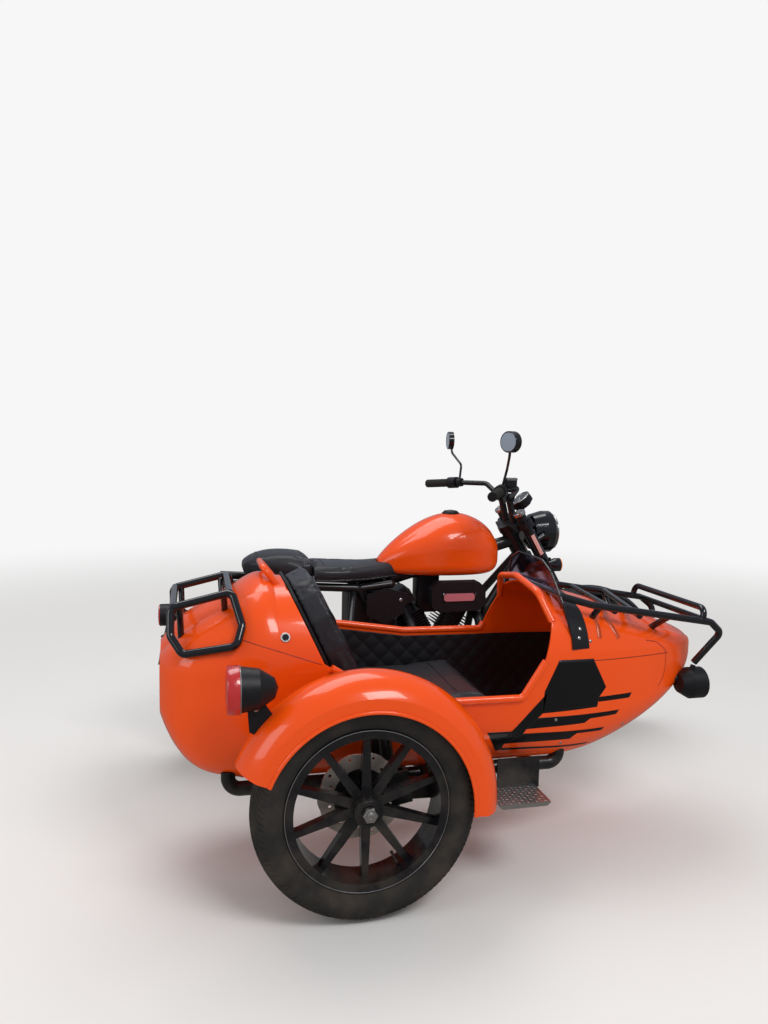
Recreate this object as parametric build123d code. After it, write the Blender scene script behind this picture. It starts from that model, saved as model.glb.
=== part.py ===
from build123d import *
import os
from math import cos, sin, radians, degrees, atan2, hypot

os.makedirs("parts", exist_ok=True)

# Cruiser motorcycle with a sidecar fixed on its right. Millimetres, +X forward, +Y left, +Z up.
# While it is drawn, X = 0 is the sidecar axle, Y = 0 the motorcycle's mid-plane and Z = 0 the
# ground. The finished pieces move together so that the origin is at the bottom centre.

# Driving dimensions of the outfit
WHEELBASE = 1400.0
WHEEL_LEAD = 160.0            # sidecar axle ahead of the rear axle
TRACK = 1150.0                # motorcycle mid-plane to the sidecar wheel's mid-plane
RAKE = 30.0                   # steering axis from the vertical
FORK_OFFSET = 45.0            # fork legs ahead of the steering axis
SHAFT_GAP = 0.08              # radial clearance of a shaft in its bore
SEAT_GAP = 0.3                # between a soft piece and what carries it
SWING = 6.0                   # least gap beside a moving piece

REAR_X = -WHEEL_LEAD
FRONT_X = REAR_X + WHEELBASE

# Wheels
FRONT_R = 299.0
REAR_R = 310.5
SIDE_R = FRONT_R
FRONT_TYRE_W = 120.0
REAR_TYRE_W = 150.0
SIDE_TYRE_W = 120.0
BEAD_R = 203.0                # 16 inch rim
REAR_BEAD_R = 190.5           # 15 inch rim
RIM_FLANGE = 14.0
RIM_FLANGE_T = 6.0
RIM_WALL = 10.0
SPOKES = 10
HUB_R = 38.0
HUB_HALF = 50.0
REAR_HUB_HALF = 62.0
AXLE_R = 10.0
DISC_T = 5.0
FRONT_DISC_R = 140.0
REAR_DISC_R = 120.0
SIDE_DISC_R = 118.0

# Steering
FORK_Y = 102.0                # fork leg from the mid-plane
FORK_TUBE_R = 20.5
FORK_SLIDER_R = 27.0
FORK_LENGTH = 752.0           # axle to the top of the leg, along the leg
SLIDER_LENGTH = 330.0
HEAD_LOW = 545.0              # along the steering axis from its foot
HEAD_HIGH = 700.0
HEAD_R = 30.0
STEM_R = 14.0
BAR_R = 11.0
GRIP_R = 17.0

# Motorcycle frame
TUBE_R = 16.0
CRADLE_Y = 95.0
PIVOT_X = 290.0               # swing arm pivot
PIVOT_Z = 390.0
PIVOT_Y = 58.0                # frame plates inside the chain line
ARM_Y = 128.0                 # swing arm leg from the mid-plane
REAR_FENDER_R = REAR_R + 57.5
SEAT_Z = 2 * REAR_R + 69.0    # underside of the seats, over the rear fender

# Sidecar body
BODY_WALL = 5.0
BODY_HALF = 245.0
WHEEL_TO_BODY = 150.0         # sidecar wheel's mid-plane to the body's near side
FLOOR_SHARE = 0.755           # half width of the floor as a share of the body's
NEAR_Y = WHEEL_TO_BODY - TRACK
BODY_Y = NEAR_Y + BODY_HALF   # centre plane of the body
FAR_Y = BODY_Y + BODY_HALF
FLOOR_HALF = FLOOR_SHARE * BODY_HALF
BEYOND = 2 * BODY_HALF        # from the centre plane to well outside the body
COWL_X = 600.0                # rear edge of the front cowl
TAIL_X = -210.0               # where the tail starts to taper
BODY_BOTTOM = 300.0
BELT_Z = 610.0
BACK_LOW = (72.0, 300.0)      # (x, z) of the sloping bulkhead behind the seat
BACK_HIGH = (-206.0, 888.0)
SILL_Z = 503.0
RIM_R = 11.0

# Sidecar chassis and wheel
RAIL_R = 20.0
RAIL_Z = 275.0
RAIL_NEAR_Y = BODY_Y - FLOOR_HALF
RAIL_FAR_Y = BODY_Y + FLOOR_HALF
FENDER_R = SIDE_R + 61.0
FENDER_HALF = 85.0
FENDER_LIP_R = SIDE_R - 23.0
FENDER_T = 3.0
RACK_R = 11.0

nodes = {}


def rod(start, end, radius):
    """Round bar from one point to another."""
    a = Vector(*start)
    b = Vector(*end)
    return Part() + Solid.make_cylinder(radius, (b - a).length, Plane(origin=a, z_dir=b - a))


def pipe(points, radius, bend):
    """Round bar along straight runs joined by arcs of one bend radius."""
    path = FilletPolyline(*points, radius=bend)
    return sweep(Plane(origin=path @ 0, z_dir=path % 0) * Circle(radius), path=path)


def block(low, high):
    """Box between two corners."""
    size = [b - a for a, b in zip(low, high)]
    middle = [(a + b) / 2 for a, b in zip(low, high)]
    return Pos(*middle) * Box(*size)


def plate(points, low, high):
    """Outline of (x, z) points, as thick as from y = low to y = high."""
    face = Plane.XZ * make_face(Polyline(*points, close=True))
    return Pos(0, high, 0) * extrude(face, amount=high - low)


def mirrored(shape):
    """The shape and its mirror image across the motorcycle's mid-plane."""
    return shape + mirror(shape, about=Plane.XZ)


def joined(parts):
    """One shape from a list of overlapping ones."""
    total = parts[0]
    for part in parts[1:]:
        total = total + part
    return total


def on_leg(distance, offset=0.0, y=0.0):
    """Point beside the fork legs: along them from the axle, and ahead of them."""
    x = FRONT_X - distance * sin(radians(RAKE)) + offset * cos(radians(RAKE))
    z = FRONT_R + distance * cos(radians(RAKE)) + offset * sin(radians(RAKE))
    return (x, y, z)


def flank(half, level, end_y, end_z):
    """Arc that leaves a vertical wall at (half, level) and ends at a point inside it."""
    inward = half - end_y
    rise = end_z - level
    radius = (inward ** 2 + rise ** 2) / (2 * inward)
    turn = atan2(abs(rise), radius - inward) / 2
    middle = (half - radius + radius * cos(turn), level + radius * sin(turn) * (1 if rise > 0 else -1))
    return ThreePointArc((half, level), middle, (end_y, end_z))


def section(x, row, centre=0.0):
    """Closed body section at x. The row is (half floor, floor z, half width, side z from,
    side z to, half deck, deck edge z, crown z)."""
    floor, z0, half, z1, z2, deck, z3, crown = row
    right = [
        flank(half, z1, floor, z0),
        Line((half, z1), (half, z2)),
        flank(half, z2, deck, z3),
    ]
    left = [mirror(edge, about=Plane.YZ) for edge in right]
    top = ThreePointArc((deck, z3), (0, crown), (-deck, z3))
    bottom = Line((-floor, z0), (floor, z0))
    face = make_face(Curve() + right + left + [top, bottom])
    return Plane.YZ.offset(x) * Pos(centre, 0) * face


# Wheels

SHOULDER_DROP = 0.17           # share of the tyre's height that its crown rounds off
SHOULDER_SHARE = 0.43          # shoulder's half width as a share of the tyre's width
SPOKE_THIN = 8.0               # half the spoke's width at the rim
SPOKE_WIDE = 14.0              # and at the hub
SPOKE_DEEP = 13.0              # half its depth along the axle


def tyre(radius, width, bead, seat):
    """Tyre about the Y axis: a round crown between two bulging walls, seated on its rim."""
    height = radius - bead
    shoulder = (radius - SHOULDER_DROP * height, SHOULDER_SHARE * width)
    side = (bead + RIM_FLANGE + 0.42 * (height - RIM_FLANGE), 0.5 * width)
    foot = (bead + RIM_FLANGE, seat)
    upper = [
        Line((bead, seat), foot),
        ThreePointArc(foot, side, shoulder),
    ]
    lower = [mirror(edge, about=Plane.XZ) for edge in upper]
    crown = ThreePointArc(shoulder, (radius, 0), (shoulder[0], -shoulder[1]))
    base = Line((bead, -seat), (bead, seat))
    return revolve(make_face(Curve() + upper + lower + [crown, base]), Axis.Y)


def rim(bead, seat, hub_half, bore, hub_r=HUB_R):
    """Cast rim about the Y axis: barrel, ten spokes and a bored hub."""
    edge = seat + RIM_FLANGE_T
    barrel = Polyline(
        (bead - RIM_WALL, -edge), (bead + RIM_FLANGE, -edge), (bead + RIM_FLANGE, -seat),
        (bead, -seat), (bead, seat), (bead + RIM_FLANGE, seat), (bead + RIM_FLANGE, edge),
        (bead - RIM_WALL, edge), close=True)
    wheel = revolve(make_face(barrel), Axis.Y)
    wheel += rod((0, -hub_half, 0), (0, hub_half, 0), hub_r)
    spoke_end = bead - RIM_WALL / 2
    spoke_start = hub_r - 8
    spoke = plate([(spoke_start, -SPOKE_WIDE), (spoke_end, -SPOKE_THIN), (spoke_end, SPOKE_THIN),
                   (spoke_start, SPOKE_WIDE)], -SPOKE_DEEP, SPOKE_DEEP)
    for number in range(SPOKES):
        wheel += Rot(0, 90 + number * 360 / SPOKES, 0) * spoke
    return wheel - rod((0, -hub_half - 1, 0), (0, hub_half + 1, 0), bore)


def disc(radius, y, bore):
    """Brake disc about the Y axis, its inner face on the hub."""
    ring = rod((0, y, 0), (0, y + DISC_T, 0), radius)
    return ring - rod((0, y - 1, 0), (0, y + DISC_T + 1, 0), bore)


RIM_SEAT = 0.32 * FRONT_TYRE_W
REAR_SEAT = 0.32 * REAR_TYRE_W
AXLE_BORE = AXLE_R + SHAFT_GAP
front_hub = Pos(FRONT_X, 0, FRONT_R)
rear_hub = Pos(REAR_X, 0, REAR_R)
side_hub = Pos(0, -TRACK, SIDE_R)

nodes["front_tyre"] = front_hub * tyre(FRONT_R, FRONT_TYRE_W, BEAD_R, RIM_SEAT)
nodes["front_rim"] = front_hub * rim(BEAD_R, RIM_SEAT, HUB_HALF, AXLE_BORE)
nodes["front_disc"] = front_hub * disc(FRONT_DISC_R, HUB_HALF, AXLE_BORE)

nodes["rear_tyre"] = rear_hub * tyre(REAR_R, REAR_TYRE_W, REAR_BEAD_R, REAR_SEAT)
SPROCKET_R = 95.0
SPROCKET_Y = 92.0
SPROCKET_T = 6.0
CARRIER_R = 55.0
DISC_BOSS_R = 34.0
carrier = rod((0, REAR_HUB_HALF - 1, 0), (0, SPROCKET_Y, 0), CARRIER_R)
carrier += rod((0, SPROCKET_Y - 1, 0), (0, SPROCKET_Y + SPROCKET_T, 0), SPROCKET_R)
carrier -= rod((0, 0, 0), (0, SPROCKET_Y + SPROCKET_T + 1, 0), AXLE_BORE)
rear_rim = rim(REAR_BEAD_R, REAR_SEAT, REAR_HUB_HALF, AXLE_BORE) + carrier
DISC_REACH = 24.0
rear_disc_boss = rod((0, -REAR_HUB_HALF - DISC_REACH, 0), (0, -REAR_HUB_HALF + 1, 0), DISC_BOSS_R)
rear_disc_boss -= rod((0, -REAR_HUB_HALF - DISC_REACH - 1, 0), (0, 0, 0), AXLE_BORE)
nodes["rear_rim"] = rear_hub * (rear_rim + rear_disc_boss)
REAR_DISC_Y = -REAR_HUB_HALF - DISC_REACH - DISC_T
nodes["rear_disc"] = rear_hub * disc(REAR_DISC_R, REAR_DISC_Y, AXLE_BORE)

nodes["sidecar_tyre"] = side_hub * tyre(SIDE_R, SIDE_TYRE_W, BEAD_R, RIM_SEAT)
nodes["sidecar_rim"] = side_hub * rim(BEAD_R, RIM_SEAT, HUB_HALF, AXLE_BORE)
nodes["sidecar_disc"] = side_hub * disc(SIDE_DISC_R, HUB_HALF, AXLE_BORE)

# Steering: legs, clamps, bar and what they carry

CLAMP_LOW = HEAD_LOW - 32
CLAMP_HIGH = HEAD_HIGH + 6
CLAMP_T = 26.0
CLAMP_R = 33.0                 # round each leg
CALIPER_IN = 42.0              # caliper from inside the disc's edge to outside it
CALIPER_OUT = 16.0
CALIPER_HALF = 45.0
CALIPER_SIDE = 9.0


def caliper(y, radius, angle, reach):
    """Brake caliper that straddles a disc at y, centred on the wheel's axle."""
    middle = y + DISC_T / 2
    half = DISC_T / 2 + SWING
    body = block((radius - CALIPER_IN, middle - half - CALIPER_SIDE, -CALIPER_HALF),
                 (radius + CALIPER_OUT, middle + half + reach, CALIPER_HALF))
    slot = block((radius - CALIPER_IN - 10, middle - half, -CALIPER_HALF - 5),
                 (radius + SWING, middle + half, CALIPER_HALF + 5))
    return Rot(0, -angle, 0) * (body - slot)


def clamp(distance):
    """Bridge between the fork legs, square to them, at a distance from the axle."""
    ends = [rod(on_leg(distance - CLAMP_T / 2, 0, y), on_leg(distance + CLAMP_T / 2, 0, y), CLAMP_R)
            for y in (-FORK_Y, FORK_Y)]
    middle = Box(2 * TUBE_R + 20, 2 * FORK_Y, CLAMP_T)
    stem = rod(on_leg(distance - CLAMP_T / 2, -FORK_OFFSET),
               on_leg(distance + CLAMP_T / 2, -FORK_OFFSET), CLAMP_R + 1)
    place = Pos(*on_leg(distance, -FORK_OFFSET / 2)) * Rot(0, -RAKE, 0)
    return joined([place * middle, stem] + ends)


def fork_leg(y):
    """Slider with the inner tube above it and its axle lug."""
    slider = rod(on_leg(-28, 0, y), on_leg(SLIDER_LENGTH, 0, y), FORK_SLIDER_R)
    tube = rod(on_leg(SLIDER_LENGTH - 5, 0, y), on_leg(FORK_LENGTH, 0, y), FORK_TUBE_R)
    collar = rod(on_leg(SLIDER_LENGTH - 14, 0, y), on_leg(SLIDER_LENGTH + 12, 0, y),
                 FORK_SLIDER_R + 4)
    cap = rod(on_leg(FORK_LENGTH - 2, 0, y), on_leg(FORK_LENGTH + 12, 0, y), FORK_TUBE_R + 3)
    return joined([slider, tube, collar, cap])


fork = fork_leg(FORK_Y) + fork_leg(-FORK_Y) + clamp(CLAMP_LOW) + clamp(CLAMP_HIGH)
fork += rod(on_leg(CLAMP_LOW, -FORK_OFFSET), on_leg(CLAMP_HIGH, -FORK_OFFSET), STEM_R)
AXLE_END = FORK_Y + 34
fork += rod((FRONT_X, -AXLE_END, FRONT_R), (FRONT_X, AXLE_END, FRONT_R), AXLE_R)
nodes["fork"] = fork

CALIPER_ANGLE = 200.0
CALIPER_LUG = FRONT_DISC_R - 30      # radius where the lug from the leg meets the caliper
front_caliper = front_hub * caliper(HUB_HALF, FRONT_DISC_R, CALIPER_ANGLE, 14)
lug_start = on_leg(75, -20, FORK_Y - 6)
lug_end = (FRONT_X + CALIPER_LUG * cos(radians(CALIPER_ANGLE)), HUB_HALF + 27,
           FRONT_R + CALIPER_LUG * sin(radians(CALIPER_ANGLE)) + 30)
front_caliper += rod(lug_start, lug_end, 9)
nodes["front_caliper"] = front_caliper - fork



def from_axle(back, y, up):
    """Point behind and above the front axle."""
    return (FRONT_X - back, y, FRONT_R + up)


# Handlebar: points of the left half, mirrored for the right
BAR_BACK = 402.0
BAR_UP = 715.0
BAR_POINTS = [from_axle(BAR_BACK, 0, BAR_UP), from_axle(BAR_BACK, 62, BAR_UP),
              from_axle(422, 170, 763), from_axle(524, 262, 761), from_axle(618, 402, 747)]
BAR_BEND = 38.0
RISER_Y = 42.0
left_bar = pipe(BAR_POINTS, BAR_R, BAR_BEND)
riser_foot = on_leg(CLAMP_HIGH, -FORK_OFFSET / 2, RISER_Y)
riser = rod(riser_foot, from_axle(BAR_BACK, RISER_Y, BAR_UP), 14)
riser += rod(from_axle(BAR_BACK, RISER_Y - 16, BAR_UP), from_axle(BAR_BACK, RISER_Y + 16, BAR_UP), 20)
handlebar = mirrored(left_bar + riser)
nodes["handlebar"] = handlebar - nodes["fork"]


def along_bar(distance):
    """Point on the straight grip end of the left bar, measured from its tip."""
    tip = Vector(*BAR_POINTS[-1])
    knee = Vector(*BAR_POINTS[-2])
    return tip + (knee - tip).normalized() * distance


GRIP_LENGTH = 122.0
SWITCH_LENGTH = 46.0
SWITCH_R = 25.0
PERCH_R = 19.0
MIRROR_AT = 182.0
RESERVOIR_R = 24.0
grip = rod(along_bar(-4), along_bar(GRIP_LENGTH), GRIP_R)
switch = rod(along_bar(GRIP_LENGTH + 1), along_bar(GRIP_LENGTH + SWITCH_LENGTH), SWITCH_R)
perch = rod(along_bar(MIRROR_AT - 8), along_bar(MIRROR_AT + 12), PERCH_R)
pivot = along_bar(MIRROR_AT) + Vector(34, 12, 0)
perch += rod(along_bar(MIRROR_AT), pivot, 9)
lever = pipe([pivot, pivot + Vector(10, 30, 0), along_bar(10) + Vector(58, 20, -4)], 5.5, 12)
controls = joined([grip, switch, perch, lever])
controls = mirrored(controls)
master = along_bar(MIRROR_AT + 2)
controls += Pos(master.X + 34, -master.Y + 4, master.Z + 26) * Cylinder(RESERVOIR_R, 34)
controls += rod((master.X, -master.Y, master.Z), (master.X + 34, -master.Y + 4, master.Z + 14), 9)
left_hole = rod(BAR_POINTS[-1], BAR_POINTS[-2], BAR_R)
nodes["hand_controls"] = controls - handlebar - mirrored(left_hole)

# Mirrors: stem up from the perch and an oval head that faces back
MIRROR_HEAD = from_axle(532, 352, 947)
MIRROR_NECK = from_axle(528, 334, 891)
stem_low = along_bar(MIRROR_AT) + Vector(0, 0, 18)
mirror_stem = pipe([stem_low, stem_low + Vector(10, 12, 60), MIRROR_NECK, MIRROR_HEAD], 5, 25)
head_face = Plane(origin=MIRROR_HEAD, z_dir=(-1, 0.18, 0))
head = extrude(head_face * Ellipse(56, 40), amount=11, both=True)
nodes["mirrors"] = mirrored(mirror_stem + head) - nodes["hand_controls"]

# Headlight, its ears and the front signals
HEADLIGHT_R = 88.0
HEADLIGHT_AT = (FRONT_X - 255.0, FRONT_R + 569.0)   # (x, z) of the bucket's middle
bucket_side = [(-62, 40), (-30, 74), (20, HEADLIGHT_R), (52, HEADLIGHT_R)]
bucket = Polyline((-62, 0), *bucket_side, (70, 70), (78, 0), close=True)
bucket = revolve(Plane.XY * make_face(bucket), Axis.X)
headlight = Pos(HEADLIGHT_AT[0], 0, HEADLIGHT_AT[1]) * bucket
EAR_AT = 622.0
ear_foot = on_leg(EAR_AT, 0, FORK_Y)
ear = rod((ear_foot[0], FORK_Y, ear_foot[2]), (HEADLIGHT_AT[0], FORK_Y - 6, HEADLIGHT_AT[1]), 10)
ear += rod(on_leg(EAR_AT - 105, 0, FORK_Y), on_leg(EAR_AT + 45, 0, FORK_Y), FORK_TUBE_R + 4)
ear -= rod(on_leg(EAR_AT - 120, 0, FORK_Y), on_leg(EAR_AT + 60, 0, FORK_Y), FORK_TUBE_R)
ear += rod((HEADLIGHT_AT[0], HEADLIGHT_R - 8, HEADLIGHT_AT[1]),
           (HEADLIGHT_AT[0], FORK_Y + 4, HEADLIGHT_AT[1]), 13)
SIGNAL_AT = from_axle(240, 168, 453)
signal_foot = on_leg(EAR_AT - 90, 0, FORK_Y)
ear += rod((signal_foot[0] + 18, FORK_Y + 12, signal_foot[2]), SIGNAL_AT, 7)
bulb = Polyline((-38, 0), (-34, 14), (-8, 27), (14, 27), (20, 0), close=True)
bulb = revolve(Plane.XY * make_face(bulb), Axis.X)
ear += Pos(*SIGNAL_AT) * bulb
nodes["headlight"] = headlight + mirrored(ear) - fork

# Instrument on the top clamp
gauge_axis = Vector(-0.62, 0, 0.78)
gauge_centre = Vector(*from_axle(335, 0, 711))
gauge = rod(gauge_centre - gauge_axis * 30, gauge_centre, 44)
gauge += rod(gauge_centre - gauge_axis * 40, gauge_centre - gauge_axis * 28, 30)
gauge += rod(gauge_centre - gauge_axis * 34, on_leg(CLAMP_HIGH + CLAMP_T / 2 - 6, -8), 12)
nodes["instrument"] = gauge - nodes["fork"] - nodes["headlight"] - nodes["handlebar"]

# Front fender, a curved shell between the legs with two stays


def fender_section(lip_r, edge_r, crown_r, half, wall):
    """Arched fender section, radius along x and width along y."""
    inner = half - wall
    outline = Curve() + [
        Line((lip_r, half), (edge_r, half)),
        ThreePointArc((edge_r, half), (crown_r, 0), (edge_r, -half)),
        Line((edge_r, -half), (lip_r, -half)),
        Line((lip_r, -half), (lip_r, -inner)),
        Line((lip_r, -inner), (edge_r, -inner)),
        ThreePointArc((edge_r, -inner), (crown_r - wall, 0), (edge_r, inner)),
        Line((edge_r, inner), (lip_r, inner)),
        Line((lip_r, inner), (lip_r, half)),
    ]
    return make_face(outline)


def arch(face, start, end):
    """Sweep a section about the Y axis from one angle above +X to another."""
    return Rot(0, -end, 0) * revolve(face, Axis.Y, revolution_arc=end - start)


FRONT_FENDER_HALF = 68.0
front_section = fender_section(FRONT_R + 1, FRONT_R + 13, FRONT_R + 31, FRONT_FENDER_HALF, FENDER_T)
front_fender = arch(front_section, 40, 165)
FENDER_LUG = FRONT_R + 19
lug_x, lug_y, lug_z = on_leg(FENDER_LUG - 25, 0, FORK_Y)
lug = block((lug_x - 22, FRONT_FENDER_HALF - 2, lug_z - 14),
            (lug_x + 22, FORK_Y - 10, lug_z + 14))
front_fender = front_hub * front_fender + mirrored(lug)
nodes["front_fender"] = front_fender - fork

# Motorcycle frame

CLAMP_GAP = CLAMP_T / 2 + 1
head_tube = rod(on_leg(CLAMP_LOW + CLAMP_GAP, -FORK_OFFSET),
                on_leg(CLAMP_HIGH - CLAMP_GAP, -FORK_OFFSET), HEAD_R)
head_bore = rod(on_leg(CLAMP_LOW, -FORK_OFFSET), on_leg(CLAMP_HIGH, -FORK_OFFSET),
                STEM_R + SHAFT_GAP)
CRADLE_Z = 205.0               # lower rails
SEAT_RAIL_Z = SEAT_Z - 28      # front end of the seat rails
SEAT_TAIL_Z = SEAT_Z + 4       # rear end of the seat rails
KNEE = (330, 676)              # (x, z) where the backbone ends
CRADLE_POINTS = [on_leg(578, -FORK_OFFSET - 12, 16), (735, 72, 560), (690, CRADLE_Y, 262),
                 (615, CRADLE_Y, CRADLE_Z), (330, CRADLE_Y, CRADLE_Z), (268, PIVOT_Y, 300),
                 (262, PIVOT_Y, 560), (200, CRADLE_Y, SEAT_RAIL_Z), (-330, CRADLE_Y, SEAT_TAIL_Z)]
cradle = pipe(CRADLE_POINTS, TUBE_R, 32)
backbone = rod(on_leg(648, -FORK_OFFSET - 16), (KNEE[0], 0, KNEE[1]), 26)
frame = joined([head_tube, backbone, mirrored(cradle)])
CROSS_MEMBERS = [
    # x, z, length
    (-60, SEAT_Z - 13, 200),
    (-320, SEAT_Z + 3, 200),
    (PIVOT_X - 26, 500, 150),
    (450, CRADLE_Z, 200),
]
for x, z, length in CROSS_MEMBERS:
    frame += rod((x, -length / 2, z), (x, length / 2, z), TUBE_R - 3)
PIVOT_PLATE = [(PIVOT_X - 42, 340), (PIVOT_X + 26, 340), (PIVOT_X + 26, 440), (PIVOT_X - 42, 460)]
pivot_plate = plate(PIVOT_PLATE, PIVOT_Y - 10, PIVOT_Y + 10)
frame += mirrored(pivot_plate)
frame += rod((KNEE[0], -CRADLE_Y, KNEE[1]), (KNEE[0], CRADLE_Y, KNEE[1]), TUBE_R)
frame += mirrored(rod((KNEE[0], CRADLE_Y, KNEE[1]), (205, CRADLE_Y, SEAT_RAIL_Z), TUBE_R))
PIVOT_PIN_R = 9.0
frame += rod((PIVOT_X, -ARM_Y - 18, PIVOT_Z), (PIVOT_X, ARM_Y + 18, PIVOT_Z), PIVOT_PIN_R)
nodes["frame"] = frame - head_bore

# Engine: crankcase, side covers and two finned cylinders in a V
CRANK_X = 520.0
CRANK_Z = 352.0
crankcase = plate([(330, 240), (400, 222), (640, 222), (672, 262), (672, 400), (620, 452),
                   (400, 452), (330, 380)], -78, 78)
engine = crankcase
COVERS = [(585, 345, 92), (420, 345, 74)]    # x, z, radius of the round side covers
COVER_OUT = 118.0
for x, z, radius in COVERS:
    engine += rod((x, -COVER_OUT, z), (x, COVER_OUT, z), radius - 6)
    engine += rod((x, -COVER_OUT + 10, z), (x, COVER_OUT - 10, z), radius)
CYLINDER_LEAN = 30.0
FIN_COUNT = 8
FIN_T = 4.0
FIN_PITCH = 12.0
FIRST_FIN = 130.0              # from the crankshaft along the cylinder
for lean in (CYLINDER_LEAN, -CYLINDER_LEAN):
    barrel = Pos(0, 0, 160) * Cylinder(46, 204)
    barrel += Pos(0, 0, 282) * Box(112, 118, 52)
    barrel += Pos(0, 0, 314) * Box(92, 100, 20)
    for number in range(FIN_COUNT):
        barrel += Pos(0, 0, FIRST_FIN + number * FIN_PITCH) * Box(126, 128, FIN_T)
    engine += Pos(CRANK_X, 0, CRANK_Z) * Rot(0, lean, 0) * barrel
SPROCKET_FRONT = (352.0, 372.0)
FRONT_SPROCKET_R = 34.0
engine += rod((SPROCKET_FRONT[0], 70, SPROCKET_FRONT[1]), (SPROCKET_FRONT[0], 97, SPROCKET_FRONT[1]),
              FRONT_SPROCKET_R - 6)
nodes["engine"] = engine - nodes["frame"]

# Air cleaner cover on the right, between the cylinders
CLEANER_AT = (592.0, 628.0)
cleaner = plate([(-112, -34), (-84, -58), (84, -58), (112, -34), (112, 34), (84, 58), (-84, 58),
                 (-112, 34)], -158, -98)
cleaner = Pos(CLEANER_AT[0], 0, CLEANER_AT[1]) * cleaner
badge = block((CLEANER_AT[0] - 66, -162, CLEANER_AT[1] - 17),
              (CLEANER_AT[0] + 66, -157, CLEANER_AT[1] + 17))
intake = rod((CLEANER_AT[0] + 36, -104, CLEANER_AT[1] - 30), (646, -40, 592), 20)
nodes["air_cleaner"] = (cleaner + badge + intake) - nodes["engine"] - nodes["frame"]

# Radiator ahead of the down tubes
radiator = Box(34, 150, 210) + Pos(8, 0, 0) * Box(20, 176, 150)
radiator = Pos(792, 0, 470) * Rot(0, -10, 0) * radiator
nodes["radiator"] = radiator - nodes["frame"] - nodes["engine"]

# Exhaust: two header pipes into a silencer low on the right
PIPE_R = 19.0
front_header = pipe([(676, -30, 566), (692, -124, 532), (700, -148, 400), (660, -156, 232),
                     (560, -162, 205), (300, -170, 205)], PIPE_R, 36)
rear_header = pipe([(390, -40, 566), (404, -138, 520), (396, -168, 420), (360, -172, 290),
                    (286, -172, 222)], PIPE_R, 34)
silencer = Polyline((0, 0), (0, 30), (70, 48), (400, 52), (425, 40), (425, 0), close=True)
silencer = revolve(make_face(silencer), Axis.X)
silencer = Pos(310, -172, 212) * Rot(0, 176, 0) * silencer
nodes["exhaust"] = joined([front_header, rear_header, silencer]) - nodes["engine"] - nodes["frame"]

# Fuel tank: a drop, rows of x, half width at the belly, underside z, shoulder z, crown z
TANK_ROWS = [
    # x, underside half, underside z, half, side from, side to, deck half, deck z, crown z
    (292, 22, 722, 34, 732, 744, 24, 758, 764),
    (330, 40, 712, 62, 735, 760, 40, 796, 808),
    (430, 62, 708, 112, 745, 790, 62, 868, 890),
    (560, 78, 708, 142, 752, 812, 78, 922, 946),
    (680, 80, 708, 138, 752, 812, 72, 914, 938),
    (756, 62, 716, 108, 756, 800, 56, 872, 892),
    (788, 34, 742, 62, 770, 798, 34, 830, 842),
]
tank = loft([section(row[0], row[1:]) for row in TANK_ROWS])
TANK_TUNNEL = block((280, -32, 640), (800, 32, 742))
nodes["fuel_tank"] = tank - TANK_TUNNEL - nodes["frame"]

# Seats, rows as for the tank with the heights above the seats' underside
RIDER_ROWS = [
    (372, 60, 10, 70, 26, 36, 52, 74, 80),
    (280, 84, 0, 102, 22, 34, 74, 58, 64),
    (160, 104, 0, 132, 20, 32, 96, 52, 58),
    (8, 112, 0, 134, 22, 36, 98, 62, 68),
]
PILLION_ROWS = [
    (8, 110, -6, 128, 22, 56, 94, 92, 100),
    (-80, 106, 0, 122, 30, 66, 90, 104, 112),
    (-170, 92, 8, 106, 40, 70, 74, 104, 111),
    (-226, 66, 22, 78, 46, 64, 52, 88, 94),
    (-252, 34, 36, 44, 52, 62, 30, 72, 76),
]


def seat_loft(rows):
    """Loft through a seat's sections."""
    faces = []
    for x, floor, z0, half, z1, z2, deck, z3, crown in rows:
        faces.append(section(x, (floor, z0, half, z1, z2, deck, z3, crown)))
    return Pos(0, 0, SEAT_Z) * loft(faces)


rider = seat_loft(RIDER_ROWS)
pillion = seat_loft(PILLION_ROWS)
nodes["rider_seat"] = Pos(0.3, 0, 0) * (rider - Pos(-0.3, 0, 0) * tank) - nodes["frame"]
nodes["pillion_seat"] = Pos(-0.3, 0, 0) * pillion - nodes["frame"]

# Side covers under the seat
COVER_Y = 112.0
COVER_T = 10.0
COVER_OUTLINE = [(224, -50), (300, -26), (392, -50), (372, -130), (300, -170), (224, -130)]
cover = plate([(x, SEAT_Z + z) for x, z in COVER_OUTLINE], COVER_Y, COVER_Y + COVER_T)
side_lug = rod((300, CRADLE_Y - 3, SEAT_Z - 34), (300, COVER_Y + 1, SEAT_Z - 34), 8)
nodes["side_covers"] = mirrored(cover + side_lug) - nodes["frame"]

# Swing arm, its pivot bushes and rear axle
arm = pipe([(PIVOT_X, ARM_Y, PIVOT_Z), (120, ARM_Y, 352), (REAR_X - 40, ARM_Y, REAR_R)], 15, 30)
bush = rod((PIVOT_X, ARM_Y - 18, PIVOT_Z), (PIVOT_X, ARM_Y + 16, PIVOT_Z), 24)
dropout = block((REAR_X - 56, ARM_Y - 12, REAR_R - 22), (REAR_X + 40, ARM_Y + 12, REAR_R + 22))
swingarm = mirrored(joined([arm, bush, dropout]))
BRIDGE = (208, 374)            # (x, z) of the tube between the legs
swingarm += rod((BRIDGE[0], -ARM_Y, BRIDGE[1]), (BRIDGE[0], ARM_Y, BRIDGE[1]), 18)
swingarm += rod((REAR_X, -ARM_Y - 22, REAR_R), (REAR_X, ARM_Y + 22, REAR_R), AXLE_R)
rear_caliper = rear_hub * caliper(REAR_DISC_Y, REAR_DISC_R, 55, 0)
swingarm += rod((REAR_X + 20, -ARM_Y + 2, REAR_R + 12), (REAR_X + 62, REAR_DISC_Y - 16, REAR_R + 84), 9)
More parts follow.
